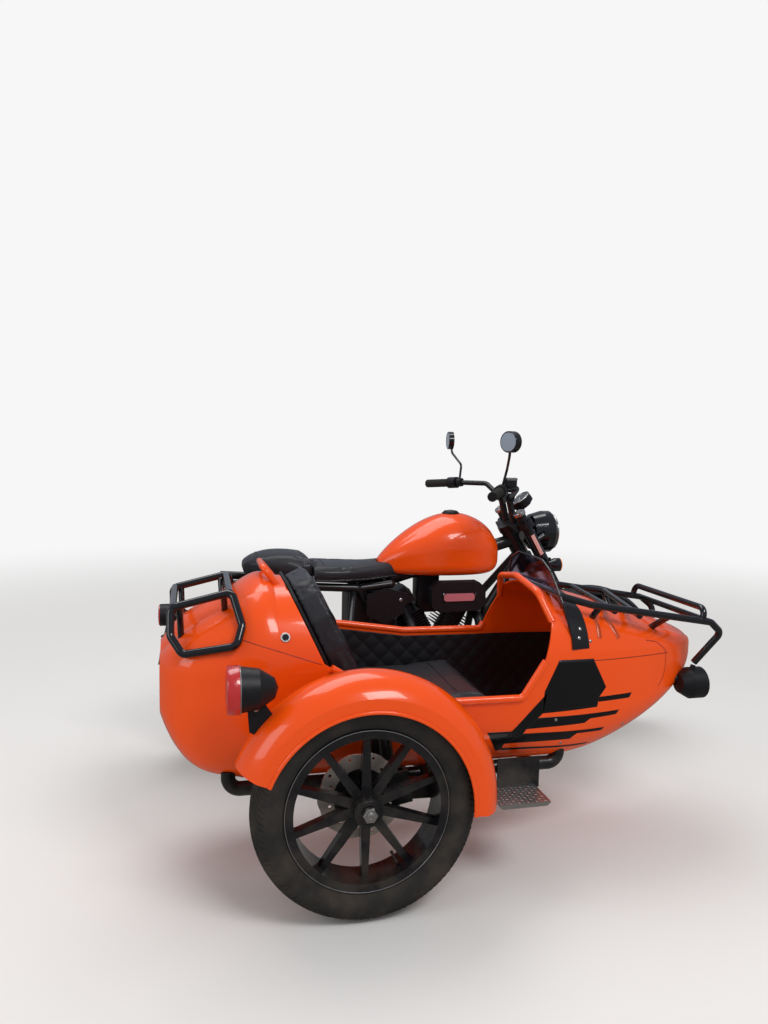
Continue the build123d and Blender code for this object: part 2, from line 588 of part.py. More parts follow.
nodes["swingarm"] = swingarm + rear_caliper - nodes["frame"]

# Rear shock absorbers
SHOCK_Y = ARM_Y + 38
SHOCK_PIN_R = 8.0
low = Vector(REAR_X + 52, SHOCK_Y, REAR_R + 14)
high = Vector(-30, SHOCK_Y, SEAT_Z - 50)
shock = rod(low, high, 9)
SHOCK_BODIES = [
    # start and end as shares of the run, radius
    (0.16, 0.62, 24),
    (0.6, 0.9, 19),
]
for start, end, radius in SHOCK_BODIES:
    shock += rod(low + (high - low) * start, low + (high - low) * end, radius)
shock += rod((low.X, ARM_Y, low.Z), (low.X, SHOCK_Y + 12, low.Z), SHOCK_PIN_R)
shock += rod((high.X, CRADLE_Y, high.Z + 10), (high.X, SHOCK_Y + 12, high.Z), SHOCK_PIN_R)
nodes["rear_shocks"] = mirrored(shock) - nodes["frame"] - nodes["swingarm"]

# Rear fender with the tail lamp, plate and signals
REAR_FENDER_HALF = 84.0
rear_section = fender_section(REAR_R + 19.5, REAR_R + 34.5, REAR_FENDER_R, REAR_FENDER_HALF, FENDER_T)
rear_fender = arch(rear_section, 62, 168)
nodes["rear_fender"] = rear_hub * rear_fender - nodes["frame"] - nodes["pillion_seat"]
TAIL_ANGLE = radians(146)      # where the lamps' bracket meets the fender


def at_tail(back, y, up):
    """Point behind and above the foot of the lamps' bracket on the fender."""
    x = REAR_X + REAR_FENDER_R * cos(TAIL_ANGLE) - back
    return (x, y, REAR_R + REAR_FENDER_R * sin(TAIL_ANGLE) + up)


TAIL_SIGNAL_Y = 160.0
tail = Pos(*at_tail(67, 0, 44)) * Rot(0, 90, 0) * Cylinder(42, 52)
tail += rod(at_tail(35, 0, 36), at_tail(67, 0, 44), 20)
tail += rod(at_tail(5, 0, 4), at_tail(43, 0, 32), 12)
tail += rod(at_tail(5, -TAIL_SIGNAL_Y + 10, 4), at_tail(5, TAIL_SIGNAL_Y - 10, 4), 7)
tail += mirrored(Pos(*at_tail(15, TAIL_SIGNAL_Y, 4)) * Rot(0, 180, 0) * bulb)
tail += Pos(*at_tail(83, 0, -66)) * Rot(0, 12, 0) * Box(4, 180, 120)
tail += rod(at_tail(13, 0, 0), at_tail(87, 0, -46), 9)
nodes["tail_lamp"] = tail - nodes["rear_fender"]

# Chain, one fixed loop round both sprockets, and its guard
CHAIN_Y = (SPROCKET_Y - 2, SPROCKET_Y + SPROCKET_T + 2)


def loop(grow):
    """Outline round the two sprockets, each grown by the same amount."""
    rear_r = SPROCKET_R + grow
    front_r = FRONT_SPROCKET_R + grow
    dx = SPROCKET_FRONT[0] - REAR_X
    dz = SPROCKET_FRONT[1] - REAR_R
    span = hypot(dx, dz)
    lean = atan2(dz, dx)
    tilt = degrees(lean)
    swing = degrees(atan2(rear_r - front_r, (span ** 2 - (rear_r - front_r) ** 2) ** 0.5))
    points = []
    for angle in (tilt + 90 - swing, tilt - 90 + swing):
        points.append((rear_r * cos(radians(angle)), rear_r * sin(radians(angle))))
    fronts = []
    for angle in (tilt + 90 - swing, tilt - 90 + swing):
        fronts.append((dx + front_r * cos(radians(angle)), dz + front_r * sin(radians(angle))))
    back = (-rear_r * cos(lean), -rear_r * sin(lean))
    nose = (dx + front_r * cos(lean), dz + front_r * sin(lean))
    edges = [ThreePointArc(points[0], back, points[1]), Line(points[1], fronts[1]),
             ThreePointArc(fronts[1], nose, fronts[0]), Line(fronts[0], points[0])]
    face = Plane.XZ * make_face(Curve() + edges)
    return Pos(0, CHAIN_Y[1], 0) * extrude(face, amount=CHAIN_Y[1] - CHAIN_Y[0])


chain = loop(13) - loop(1)
nodes["drive_chain"] = Pos(REAR_X, 0, REAR_R) * chain - nodes["engine"] - nodes["frame"]

# Foot pegs and pedals
PEG_X = 455.0
PEG_Z = 268.0
PEDAL_X = PEG_X + 120
PEDAL_Z = PEG_Z + 14
peg = rod((PEG_X, CRADLE_Y, CRADLE_Z + 5), (PEG_X, 150, PEG_Z), 9)
peg += rod((PEG_X, 148, PEG_Z), (PEG_X, 232, PEG_Z), 13)
peg += rod((PEG_X, 136, PEG_Z - 8), (PEDAL_X, 140, PEDAL_Z), 6)
peg += rod((PEDAL_X, 136, PEDAL_Z), (PEDAL_X, 176, PEDAL_Z), 9)
PILLION_PEG = (40, 430)        # (x, z)
peg += rod((30, CRADLE_Y, SEAT_Z - 18), (PILLION_PEG[0], 150, PILLION_PEG[1]), 8)
peg += rod((PILLION_PEG[0], 148, PILLION_PEG[1]), (PILLION_PEG[0], 215, PILLION_PEG[1]), 11)
right_peg = mirror(peg, about=Plane.XZ) - nodes["exhaust"]
nodes["foot_pegs"] = peg + right_peg - nodes["frame"] - nodes["engine"] - nodes["swingarm"]

# Sidecar body, rows of half floor, floor z, half width, side from, side to, deck half,
# deck edge z, crown z. The three widths are shares of the body's half width.
TAIL_ROWS = [
    (TAIL_X, (FLOOR_SHARE, BODY_BOTTOM, 1.0, 430, BELT_Z, 0.539, 808, 836)),
    (-285, (0.747, 302, 0.996, 432, BELT_Z, 0.53, 806, 834)),
    (-345, (0.714, 311, 0.978, 436, 608, 0.49, 772, 796)),
    (-400, (0.686, 325, 0.947, 442, 605, 0.441, 742, 766)),
    (-480, (0.531, 385, 0.796, 472, 592, 0.351, 688, 714)),
    (-525, (0.327, 470, 0.531, 520, 580, 0.229, 640, 660)),
]
MID_ROW = (FLOOR_SHARE, BODY_BOTTOM, 1.0, 430, BELT_Z, 0.694, 762, 800)
NOSE_ROWS = [
    (COWL_X, MID_ROW),
    (COWL_X + 45, (0.751, 301, 0.996, 431, BELT_Z, 0.678, 755, 790)),
    (860, (0.612, 340, 0.873, 452, 606, 0.555, 704, 732)),
    (1040, (0.4, 420, 0.637, 496, 602, 0.384, 656, 676)),
    (1140, (0.212, 494, 0.392, 540, 596, 0.229, 626, 640)),
    (1185, (0.082, 552, 0.18, 568, 590, 0.098, 606, 614)),
]


def body_row(row, wall=0.0):
    """A section row with its widths in millimetres, smaller by the wall on every side."""
    floor, z0, half, z1, z2, deck, z3, crown = row
    return (floor * BODY_HALF - 0.6 * wall, z0 + wall, half * BODY_HALF - wall, z1, z2,
            deck * BODY_HALF - 0.6 * wall, z3 - wall, crown - wall)


def body_loft(rows, wall=0.0, end_wall=0.0):
    """Loft through body sections, thinner by the wall and short of the last by the end wall."""
    faces = []
    for number, (x, row) in enumerate(rows):
        if number == len(rows) - 1:
            x -= end_wall
        faces.append(section(x, body_row(row, wall), BODY_Y))
    return loft(faces)


def body_prism(row, start, end, wall=0.0):
    """Straight stretch of the body from one x to another."""
    return extrude(section(start, body_row(row, wall), BODY_Y), amount=end - start)


BACK_DX = BACK_HIGH[0] - BACK_LOW[0]
BACK_DZ = BACK_HIGH[1] - BACK_LOW[1]
BACK_LEAN = atan2(-BACK_DX, BACK_DZ)


def behind(shift=0.0):
    """Everything behind the sloping bulkhead plane, moved forward by the shift."""
    far_x = -900
    low_x = BACK_LOW[0] - 0.2 * BACK_DX + shift
    low_z = BACK_LOW[1] - 0.2 * BACK_DZ
    high_x = BACK_HIGH[0] + 0.2 * BACK_DX + shift
    high_z = BACK_HIGH[1] + 0.2 * BACK_DZ
    points = [(low_x, low_z), (high_x, high_z), (far_x, high_z), (far_x, low_z)]
    return plate(points, BODY_Y - BEYOND, BODY_Y + BEYOND)


BACK_X = 110.0                 # the straight rear stretch reaches past the bulkhead's foot
tail_row = TAIL_ROWS[0][1]
tail_outer = body_prism(tail_row, TAIL_X, BACK_X) + body_loft(TAIL_ROWS)
tail_inner = body_prism(tail_row, TAIL_X, BACK_X, BODY_WALL)
tail_inner += body_loft(TAIL_ROWS, BODY_WALL, -2 * BODY_WALL)
wall_shift = BODY_WALL / cos(BACK_LEAN)
tail_shell = (tail_outer & behind()) - (tail_inner & behind(-wall_shift))
HATCH_LOW = 560.0
HATCH_HIGH = 770.0
HATCH_HALF = 110.0
hatch = block((-260, BODY_Y - HATCH_HALF, HATCH_LOW), (40, BODY_Y + HATCH_HALF, HATCH_HIGH))
hatch = hatch & (behind(2) - behind(-2 * wall_shift))
nodes["sidecar_tail"] = tail_shell - hatch

# Tub: floor, walls and the seat box, open above the rim
tub_outer = body_prism(MID_ROW, TAIL_X, COWL_X)
tub_inner = body_prism(MID_ROW, TAIL_X - 1, COWL_X + 1, BODY_WALL)
tub = tub_outer - tub_inner - behind()
FAR_RIM = [(-90, 636), (40, 628), (270, 594), (548, 590), (590, 690), (COWL_X + 5, 740)]
NEAR_RIM = [(-90, 636), (30, 560), (120, SILL_Z + 4), (500, SILL_Z), (566, 600), (592, 690),
            (COWL_X + 5, 740)]
top_cut = [(COWL_X + 5, 950), (-400, 950), (-400, 636)]
tub -= plate(FAR_RIM + top_cut, BODY_Y, BODY_Y + BEYOND)
tub -= plate(NEAR_RIM + top_cut, BODY_Y - BEYOND, BODY_Y)
SEAT_BOX_TOP = 392.0
SEAT_FRONT = 424.0
SEAT_BOX_T = 8.0
box_back = BACK_LOW[0] + 4
box_half = FLOOR_HALF - 5
seat_box = block((box_back, BODY_Y - box_half, BODY_BOTTOM + 2),
                 (SEAT_FRONT, BODY_Y + box_half, SEAT_BOX_TOP))
seat_box -= block((box_back + SEAT_BOX_T, BODY_Y - box_half + SEAT_BOX_T, BODY_BOTTOM - 1),
                  (SEAT_FRONT - SEAT_BOX_T, BODY_Y + box_half - SEAT_BOX_T, SEAT_BOX_TOP - 6))
nodes["sidecar_tub"] = tub + (seat_box - behind(1))

# Nose: closed cowl ahead of the cockpit, open towards the feet
nose_solid = body_loft(NOSE_ROWS)
nodes["sidecar_nose"] = nose_solid - body_loft(NOSE_ROWS, BODY_WALL, 3 * BODY_WALL)

# Rolled rim round the cockpit, and the hoop handle on the cowl
RIM_START = -68.0              # just ahead of the tail


def rim_points(edge):
    """Edge of the opening from the rim's start to where it turns up the cowl."""
    (low_x, low_z), (next_x, next_z) = edge[:2]
    start_z = low_z + (RIM_START - low_x) * (next_z - low_z) / (next_x - low_x)
    return [(RIM_START, start_z)] + edge[1:4]


near_path = [(x, NEAR_Y, z) for x, z in rim_points(NEAR_RIM)] + [(570, NEAR_Y, 610)]
far_path = [(x, FAR_Y, z) for x, z in rim_points(FAR_RIM)] + [(560, FAR_Y, 612)]
rim_near = pipe(near_path, RIM_R, 24)
rim_far = pipe(far_path, RIM_R, 16)
HOOP_OUT = 39.0                # feet and shoulders inside the body's sides
HOOP_IN = 95.0
hoop = pipe([(604, NEAR_Y + HOOP_OUT, 716), (580, NEAR_Y + HOOP_IN, 796), (572, BODY_Y, 822),
             (580, FAR_Y - HOOP_IN, 796), (604, FAR_Y - HOOP_OUT, 716)], RIM_R, 60)
nodes["cockpit_rim"] = (rim_near + rim_far + hoop) - nodes["sidecar_tub"] - nodes["sidecar_nose"]

# Seat cushion, backrest and its board, which folds forward about its foot
SEAT_TOP = 500.0
SEAT_HALF = BODY_HALF - 35.0
cushion = plate([(84, SEAT_BOX_TOP + SEAT_GAP), (434, SEAT_BOX_TOP + SEAT_GAP), (440, 470),
                 (424, SEAT_TOP), (64, SEAT_TOP - 14), (40, 470)],
                BODY_Y - SEAT_HALF, BODY_Y + SEAT_HALF)
nodes["sidecar_seat"] = cushion - behind(84)

BOARD_T = 8.0
CUSHION_T = 64.0
back_along = Vector(-sin(BACK_LEAN), 0, cos(BACK_LEAN))
back_out = Vector(cos(BACK_LEAN), 0, sin(BACK_LEAN))
back_foot = Vector(BACK_LOW[0], BODY_Y, BACK_LOW[1])


def on_back(height, out):
    """Point on the bulkhead's slope: its height above the ground, and how far in front."""
    along = (height - BACK_LOW[1]) / cos(BACK_LEAN)
    return back_foot + back_along * along + back_out * out


def back_slab(rows, inner, outer):
    """Slab on the bulkhead's slope from rows of height and half width."""
    faces = []
    for height, half in rows:
        place = Plane(origin=on_back(height, (inner + outer) / 2), x_dir=back_out, z_dir=back_along)
        faces.append(place * Rectangle(outer - inner, 2 * half))
    return loft(faces, ruled=True)


HINGE_AT = 506.0               # heights on the bulkhead's slope
HINGE_OUT = 62.0
SIDE_ARM_HALF = BODY_HALF - 24.0
BACK_ROWS = [(HINGE_AT + 8, SIDE_ARM_HALF - 15), (640, SIDE_ARM_HALF - 13), (730, SIDE_ARM_HALF - 31),
             (790, SIDE_ARM_HALF - 69), (828, SIDE_ARM_HALF - 125)]
BOARD_ROWS = [(HINGE_AT + 8, SIDE_ARM_HALF), (640, SIDE_ARM_HALF), (730, SIDE_ARM_HALF - 25),
              (790, SIDE_ARM_HALF - 65), (830, SIDE_ARM_HALF - 123)]
BOARD_GAP = 3.0
board = back_slab(BOARD_ROWS, BOARD_GAP, BOARD_GAP + BOARD_T)
cushion_in = BOARD_GAP + BOARD_T + SEAT_GAP
nodes["backrest_cushion"] = back_slab(BACK_ROWS, cushion_in, cushion_in + CUSHION_T)

# Arms beside the cushion carry the board on two pins in the tub's walls
HINGE_PIN_R = 6.0
SIDE_ARM_T = 5.0
hinge = on_back(HINGE_AT, HINGE_OUT)
arm_outline = [on_back(HINGE_AT + 3, BOARD_GAP), on_back(HINGE_AT + 52, BOARD_GAP),
               on_back(HINGE_AT + 44, BOARD_GAP + 20), on_back(HINGE_AT + 16, HINGE_OUT + 9),
               on_back(HINGE_AT - 6, HINGE_OUT + 8), on_back(HINGE_AT - 4, HINGE_OUT - 10)]
side_arm = plate([(point.X, point.Z) for point in arm_outline],
                 BODY_Y + SIDE_ARM_HALF - SIDE_ARM_T, BODY_Y + SIDE_ARM_HALF)
hinge_hole = rod((hinge.X, BODY_Y, hinge.Z), (hinge.X, FAR_Y, hinge.Z), HINGE_PIN_R + SHAFT_GAP)


def both_sides(shape):
    """The shape and its mirror image across the body's centre plane."""
    return shape + mirror(shape, about=Plane.XZ.offset(-BODY_Y))


board += both_sides(side_arm - hinge_hole)
nodes["backrest_board"] = board
hinge_pin = rod((hinge.X, BODY_Y + SIDE_ARM_HALF - SIDE_ARM_T - 3, hinge.Z),
                (hinge.X, FAR_Y - 2, hinge.Z), HINGE_PIN_R)
nodes["sidecar_tub"] = nodes["sidecar_tub"] + both_sides(hinge_pin)

# Wind screen: a curved panel on the cowl with a moulded base
SCREEN_T = 4.0
SCREEN_LEAN = 16.0
SCREEN_HALF = BODY_HALF - 9.0
SCREEN_TOP_HALF = SCREEN_HALF - 86.0
SCREEN_BOTTOM = 640.0
SCREEN_TOP = 884.0
SCREEN_SHOULDER = SCREEN_HALF - 26.0
SCREEN_X = 668.0
SCREEN_BULGE = 26.0
screen_arc = ThreePointArc((0, -SCREEN_HALF), (SCREEN_BULGE, 0), (0, SCREEN_HALF))
screen_back = ThreePointArc((-SCREEN_T, -SCREEN_HALF), (SCREEN_BULGE - SCREEN_T, 0),
                            (-SCREEN_T, SCREEN_HALF))
screen_face = make_face(Curve() + [screen_arc, screen_back,
                                   Line((0, -SCREEN_HALF), (-SCREEN_T, -SCREEN_HALF)),
                                   Line((0, SCREEN_HALF), (-SCREEN_T, SCREEN_HALF))])
panel = extrude(screen_face, amount=300)
panel = Pos(SCREEN_X, BODY_Y, SCREEN_BOTTOM) * Rot(0, -SCREEN_LEAN, 0) * panel
screen_corners = [(SCREEN_HALF, SCREEN_BOTTOM), (SCREEN_SHOULDER, SCREEN_TOP - 114),
                  (SCREEN_TOP_HALF, SCREEN_TOP - 26), (SCREEN_TOP_HALF - 60, SCREEN_TOP)]
screen_outline = screen_corners + [(-y, z) for y, z in reversed(screen_corners)]
shape = Plane.YZ * make_face(Polyline(*screen_outline, close=True))
shape = Pos(SCREEN_X - 268, BODY_Y, 0) * extrude(shape, amount=500)
screen = (panel & shape) - nose_solid
nodes["windscreen"] = screen
BASE_OUT = 6.0                 # the moulding stands this far off the cowl
base_out = loft([section(x, body_row(row, -BASE_OUT), BODY_Y) for x, row in NOSE_ROWS[1:3]])
base_zone = block((SCREEN_X - 14, BODY_Y - BEYOND, SCREEN_BOTTOM), (SCREEN_X + 44, BODY_Y + BEYOND, 900))
base = (base_out & base_zone) - nose_solid
nodes["screen_base"] = base - nodes["windscreen"]

# Racks of round tube: front rack over the nose, ending in two covered fog lamps
RACK_HALF = BODY_HALF - 45.0


def beside(x, half, z):
    """Point at a distance to the near side of the body's centre plane."""
    return (x, BODY_Y - half, z)


front_rail = pipe([beside(630, RACK_HALF - 12, 792), beside(735, RACK_HALF, 762),
                   beside(1150, RACK_HALF, 694), beside(1196, RACK_HALF - 10, 656),
                   beside(1140, RACK_HALF - 60, 548)], RACK_R, 26)
RACK_FEET = [
    # foot x, top x, top z, half width of the feet as a share of the body's, foot z
    (738, 764, 757, 0.645, 692),
    (980, 1000, 718, 0.424, 650),
]
for foot_x, top_x, top_z, share, foot_z in RACK_FEET:
    foot = beside(foot_x, share * BODY_HALF, foot_z)
    front_rail += rod(beside(top_x, RACK_HALF, top_z), foot, RACK_R - 1)
front_rack = both_sides(front_rail)
RACK_BARS = [
    # x at the far end, x at the near end, z
    (870, 815, 740),
    (996, 900, 722),
    (640, 640, 789),
    (1150, 1150, 694),
]
for far_x, near_x, z in RACK_BARS:
    front_rack += rod(beside(near_x, RACK_HALF - 4, z), beside(far_x, -RACK_HALF + 4, z), RACK_R - 1)
guard = pipe([beside(1118, -RACK_HALF, 699), beside(1126, -RACK_HALF, 738), beside(1126, RACK_HALF, 738),
              beside(1118, RACK_HALF, 699)], RACK_R - 1, 24)
nodes["front_rack"] = (front_rack + guard) - nose_solid - nodes["windscreen"] - nodes["screen_base"]

FOG_R = 50.0
FOG_AT = beside(1132, RACK_HALF - 58, 482)
fog = Polyline((-52, 0), (-46, 30), (-12, FOG_R), (34, FOG_R), (40, 40), (40, 0), close=True)
fog = Pos(*FOG_AT) * revolve(make_face(fog), Axis.X)
fog += rod((FOG_AT[0], FOG_AT[1], FOG_AT[2] + 40), (1137, FOG_AT[1], 540), 8)
fog += rod((FOG_AT[0] - 30, FOG_AT[1], FOG_AT[2] + 8), beside(1040, 0.441 * BODY_HALF, 510), 9)
nodes["fog_lamps"] = both_sides(fog) - nodes["front_rack"] - nose_solid

# Rear rack on the tail's deck, with a loop down each shoulder
LOOP_HALF = BODY_HALF - 99.0
LOOP = [beside(-330, LOOP_HALF, 821), beside(-306, BODY_HALF - 31, 742),
        beside(-322, BODY_HALF - 2, 694), beside(-462, BODY_HALF - 37, 668),
        beside(-494, BODY_HALF - 69, 712), beside(-494, LOOP_HALF, 782)]
LOOP_BEND = 22.0
rear_loop = pipe([beside(-410, LOOP_HALF, 802)] + LOOP + [beside(-408, LOOP_HALF, 802.5)],
                 RACK_R, LOOP_BEND)
REAR_FEET = [
    # x, z at the loop, z at the deck
    (-352, 814, 750),
    (-470, 788, 668),
]
for x, z, deck_z in REAR_FEET:
    rear_loop += rod(beside(x, LOOP_HALF, z), beside(x + 4, LOOP_HALF - 34, deck_z), RACK_R - 2)
rear_rack = both_sides(rear_loop)
REAR_BARS = [(-336, 819), (-412, 801), (-488, 784)]    # x, z
for x, z in REAR_BARS:
    rear_rack += rod(beside(x, LOOP_HALF, z), beside(x, -LOOP_HALF, z), RACK_R - 1)
nodes["rear_rack"] = rear_rack - tail_outer

HANDLE_HALF = 70.0
HANDLE_R = 9.0
grab = pipe([beside(-192, HANDLE_HALF, 816), beside(-240, HANDLE_HALF, 876),
             beside(-240, -HANDLE_HALF, 876), beside(-192, -HANDLE_HALF, 816)], HANDLE_R, 26)
nodes["grab_handle"] = grab - tail_outer

# Sidecar fender: arched shell with a rolled lip
side_arch = fender_section(FENDER_LIP_R, SIDE_R + 11, FENDER_R, FENDER_HALF, FENDER_T)
FENDER_START = -4.0
FENDER_END = 158.0
fender = arch(side_arch, FENDER_START, FENDER_END)
for side in (FENDER_HALF, -FENDER_HALF):
    fender += arch(Pos(FENDER_LIP_R, side) * Circle(5), FENDER_START, FENDER_END)
nodes["sidecar_fender"] = side_hub * fender

# Round lamp on the fender's back
LAMP_R = 59.0
FENDER_LAMP = (-300.0, -TRACK - 12, SIDE_R + 330.0)
shell = Polyline((-50, 0), (-50, LAMP_R - 3), (-34, LAMP_R), (24, 50), (62, 26), (72, 0), close=True)
fender_lamp = Pos(*FENDER_LAMP) * revolve(make_face(shell), Axis.X)
BRACKET = [(-306, 291), (-262, 291), (-232, 247), (-262, 201), (-300, 221)]
bracket = plate([(x, SIDE_R + z) for x, z in BRACKET], FENDER_LAMP[1] - 4, FENDER_LAMP[1] + 4)
lamp_bracket = bracket - side_hub * rod((0, -FENDER_HALF, 0), (0, FENDER_HALF, 0), FENDER_R)
nodes["fender_lamp"] = (fender_lamp + lamp_bracket) - nodes["sidecar_fender"]

# Sidecar chassis: two rails, cross tubes, fender stays and the shock tower
chassis = []
for y in (RAIL_NEAR_Y, RAIL_FAR_Y):
    chassis.append(pipe([(-342, y, 330), (-342, y, RAIL_Z), (648, y, RAIL_Z), (648, y, 346)], RAIL_R, 34))
CROSS_X = (-250.0, 225.0, 560.0)
for x in CROSS_X:
    chassis.append(rod((x, RAIL_NEAR_Y, RAIL_Z), (x, RAIL_FAR_Y, RAIL_Z), RAIL_R - 3))
ARM_PIVOT = (225.0, 285.0)
ARM_PIVOT_Y = -TRACK + SIDE_TYRE_W / 2 + 27
chassis.append(rod((ARM_PIVOT[0], RAIL_NEAR_Y, ARM_PIVOT[1]),
                   (ARM_PIVOT[0], ARM_PIVOT_Y + 20, ARM_PIVOT[1]), RAIL_R - 2))
STAY_R = 9.0
skirt_y = -TRACK + FENDER_HALF
for x, z in ((-262, 452), (302, 330)):
    chassis.append(pipe([(x, RAIL_NEAR_Y, RAIL_Z), (x, skirt_y + 34, RAIL_Z + 6),
                         (x, skirt_y + 22, z), (x, skirt_y + 0.5, z)], STAY_R, 10))
TOWER_X = 70.0
TOWER_Y = NEAR_Y - 7.0
TOWER_T = 10.0
tower = block((TOWER_X - 24, TOWER_Y - TOWER_T, RAIL_Z - 5), (TOWER_X + 24, TOWER_Y, 496))
chassis.append(tower)
chassis.append(rod((TOWER_X, RAIL_NEAR_Y, RAIL_Z), (TOWER_X, TOWER_Y - 5, RAIL_Z), RAIL_R - 4))
chassis_frame = joined(chassis)
body_outer = body_prism(MID_ROW, BACK_X, COWL_X) + tail_outer + nose_solid
nodes["sidecar_chassis"] = chassis_frame - body_outer - nodes["sidecar_fender"]

# Wheel arm with the stub axle, brake caliper and shock absorber
ARM_T = 30.0
arm_out = -TRACK + SIDE_TYRE_W / 2 + 10
arm_in = arm_out + ARM_T
wheel_arm = plate([(ARM_PIVOT[0] + 26, ARM_PIVOT[1] + 20), (ARM_PIVOT[0] + 26, ARM_PIVOT[1] - 20),
                   (-34, SIDE_R - 28), (-34, SIDE_R + 28), (60, SIDE_R + 34)], arm_out, arm_in)
hub_face = -TRACK - HUB_HALF
AXLE_NUT_R = 17.0
wheel_arm += rod((0, arm_in, SIDE_R), (0, hub_face - 22, SIDE_R), AXLE_R)
wheel_arm += rod((0, hub_face - 5.5, SIDE_R), (0, hub_face - 18, SIDE_R), AXLE_NUT_R)
wheel_arm += side_hub * caliper(HUB_HALF, SIDE_DISC_R, 10, 12)
shock_low = Vector(96, arm_in + 26, SIDE_R + 14)
shock_high = Vector(TOWER_X, arm_in + 26, 478)
shock_run = shock_high - shock_low
shock = joined([
    rod(shock_low, shock_high, 8),
    rod(shock_low + shock_run * 0.2, shock_low + shock_run * 0.8, 20),
    rod(shock_low + Vector(0, -40, 0), shock_low + Vector(0, 10, 0), 9),
    rod(shock_high + Vector(0, -12, 0), (TOWER_X, TOWER_Y - TOWER_T + 1, 478), 9)])
wheel_arm = wheel_arm + shock
nodes["wheel_arm"] = wheel_arm - nodes["sidecar_chassis"]

# Step of chequered plate on a hanging panel
panel_y = NEAR_Y - 34.0
step = block((415, panel_y, 246), (545, panel_y + 5, 338))
for x in (450, 515):
    step += rod((x, panel_y + 2, RAIL_Z), (x, RAIL_NEAR_Y, RAIL_Z), 12)
nodes["step_hanger"] = step - nodes["sidecar_chassis"] - body_outer
tread = plate([(388, 244), (520, 244), (530, 252), (530, 256), (380, 256), (380, 250)],
              panel_y - 112, panel_y - 0.3)
nodes["step_tread"] = tread

# Struts that hold the sidecar to the motorcycle, each with a clamp on the frame
STRUT_R = 15.0
STRUTS = [
    # x at the rail, knee (x, y as a share of the rail's, z), end on the frame
    (600, (600, 0.333, 284), (600, -CRADLE_Y, CRADLE_Z + 7)),
    (225, (225, 0.526, 316), (262, -PIVOT_Y, 322)),
    (640, (722, 0.561, 470), (830, -44, 686)),
    (60, (100, 0.667, 440), (176, -CRADLE_Y, SEAT_Z - 48)),
]
strut_set = []
for rail_x, (knee_x, share, knee_z), end in STRUTS:
    knee = (knee_x, share * RAIL_FAR_Y, knee_z)
    strut_set.append(pipe([(rail_x, RAIL_FAR_Y, RAIL_Z), knee, end], STRUT_R, 60))
nodes["struts"] = joined(strut_set) - nodes["frame"] - nodes["sidecar_chassis"]

# The origin goes to the bottom centre of the finished outfit
boxes = [shape.bounding_box() for shape in nodes.values()]
low = [min(getattr(box.min, axis) for box in boxes) for axis in "XYZ"]
high = [max(getattr(box.max, axis) for box in boxes) for axis in "XYZ"]
to_origin = Pos(-(low[0] + high[0]) / 2, -(low[1] + high[1]) / 2, -low[2])
print("moved by", tuple(to_origin.position))

for name, shape in nodes.items():
    export_step(to_origin * shape, f"parts/{name}.step")
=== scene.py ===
import math

import bmesh
import bpy
import numpy as np
from mathutils import Matrix, Vector


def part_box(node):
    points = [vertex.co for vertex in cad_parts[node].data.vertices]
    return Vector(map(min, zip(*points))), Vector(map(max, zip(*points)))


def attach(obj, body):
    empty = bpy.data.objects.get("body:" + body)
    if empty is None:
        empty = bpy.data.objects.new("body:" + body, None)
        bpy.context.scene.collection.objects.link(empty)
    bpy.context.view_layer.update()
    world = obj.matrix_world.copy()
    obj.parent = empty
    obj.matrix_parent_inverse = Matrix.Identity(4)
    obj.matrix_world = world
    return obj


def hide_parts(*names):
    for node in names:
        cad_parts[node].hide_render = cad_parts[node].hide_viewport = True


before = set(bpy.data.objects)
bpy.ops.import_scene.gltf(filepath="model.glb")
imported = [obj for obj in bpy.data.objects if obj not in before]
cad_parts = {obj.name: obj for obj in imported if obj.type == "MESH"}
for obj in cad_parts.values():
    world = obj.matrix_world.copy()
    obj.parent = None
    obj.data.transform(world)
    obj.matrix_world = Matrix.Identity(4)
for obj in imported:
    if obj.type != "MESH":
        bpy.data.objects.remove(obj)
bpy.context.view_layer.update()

# Where the outfit stands
# The outfit stands upright on its three wheels on a plain pale floor, under soft studio light.
# The camera looks at the sidecar's open side from a standing person's height, a little from behind.

near_wheel_low, near_wheel_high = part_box("sidecar_tyre")
AXLE = (near_wheel_low + near_wheel_high) / 2          # centre of the sidecar wheel
TRACK = 1.150


def rows_at(points):
    """Millimetres to frame metres. Rows are (x ahead of the sidecar axle, y left of the
    motorcycle's mid-plane, z above the ground)."""
    points = np.asarray(points, float) / 1000
    return points + np.array([AXLE.x, AXLE.y + TRACK, 0.0])


def mesh_piece(name, points, faces, smooth=True, closed=False):
    """Object from an array of points and an array of quads. A closed one has its doubles merged
    and its faces turned outwards."""
    mesh = bpy.data.meshes.new(name)
    mesh.from_pydata(np.asarray(points, float).reshape(-1, 3), [], np.asarray(faces).tolist())
    if closed:
        work = bmesh.new()
        work.from_mesh(mesh)
        bmesh.ops.remove_doubles(work, verts=work.verts, dist=1e-6)
        bmesh.ops.recalc_face_normals(work, faces=work.faces)
        work.to_mesh(mesh)
        work.free()
    mesh.polygons.foreach_set("use_smooth", np.full(len(mesh.polygons), smooth))
    mesh.update()
    piece = bpy.data.objects.new(name, mesh)
    bpy.context.scene.collection.objects.link(piece)
    return piece


def read_rows(layer, what="co"):
    """Array of the coordinates or normals of a mesh's points or faces, a row for each."""
    rows = np.empty(len(layer) * 3)
    layer.foreach_get(what, rows)
    return rows.reshape(-1, 3)


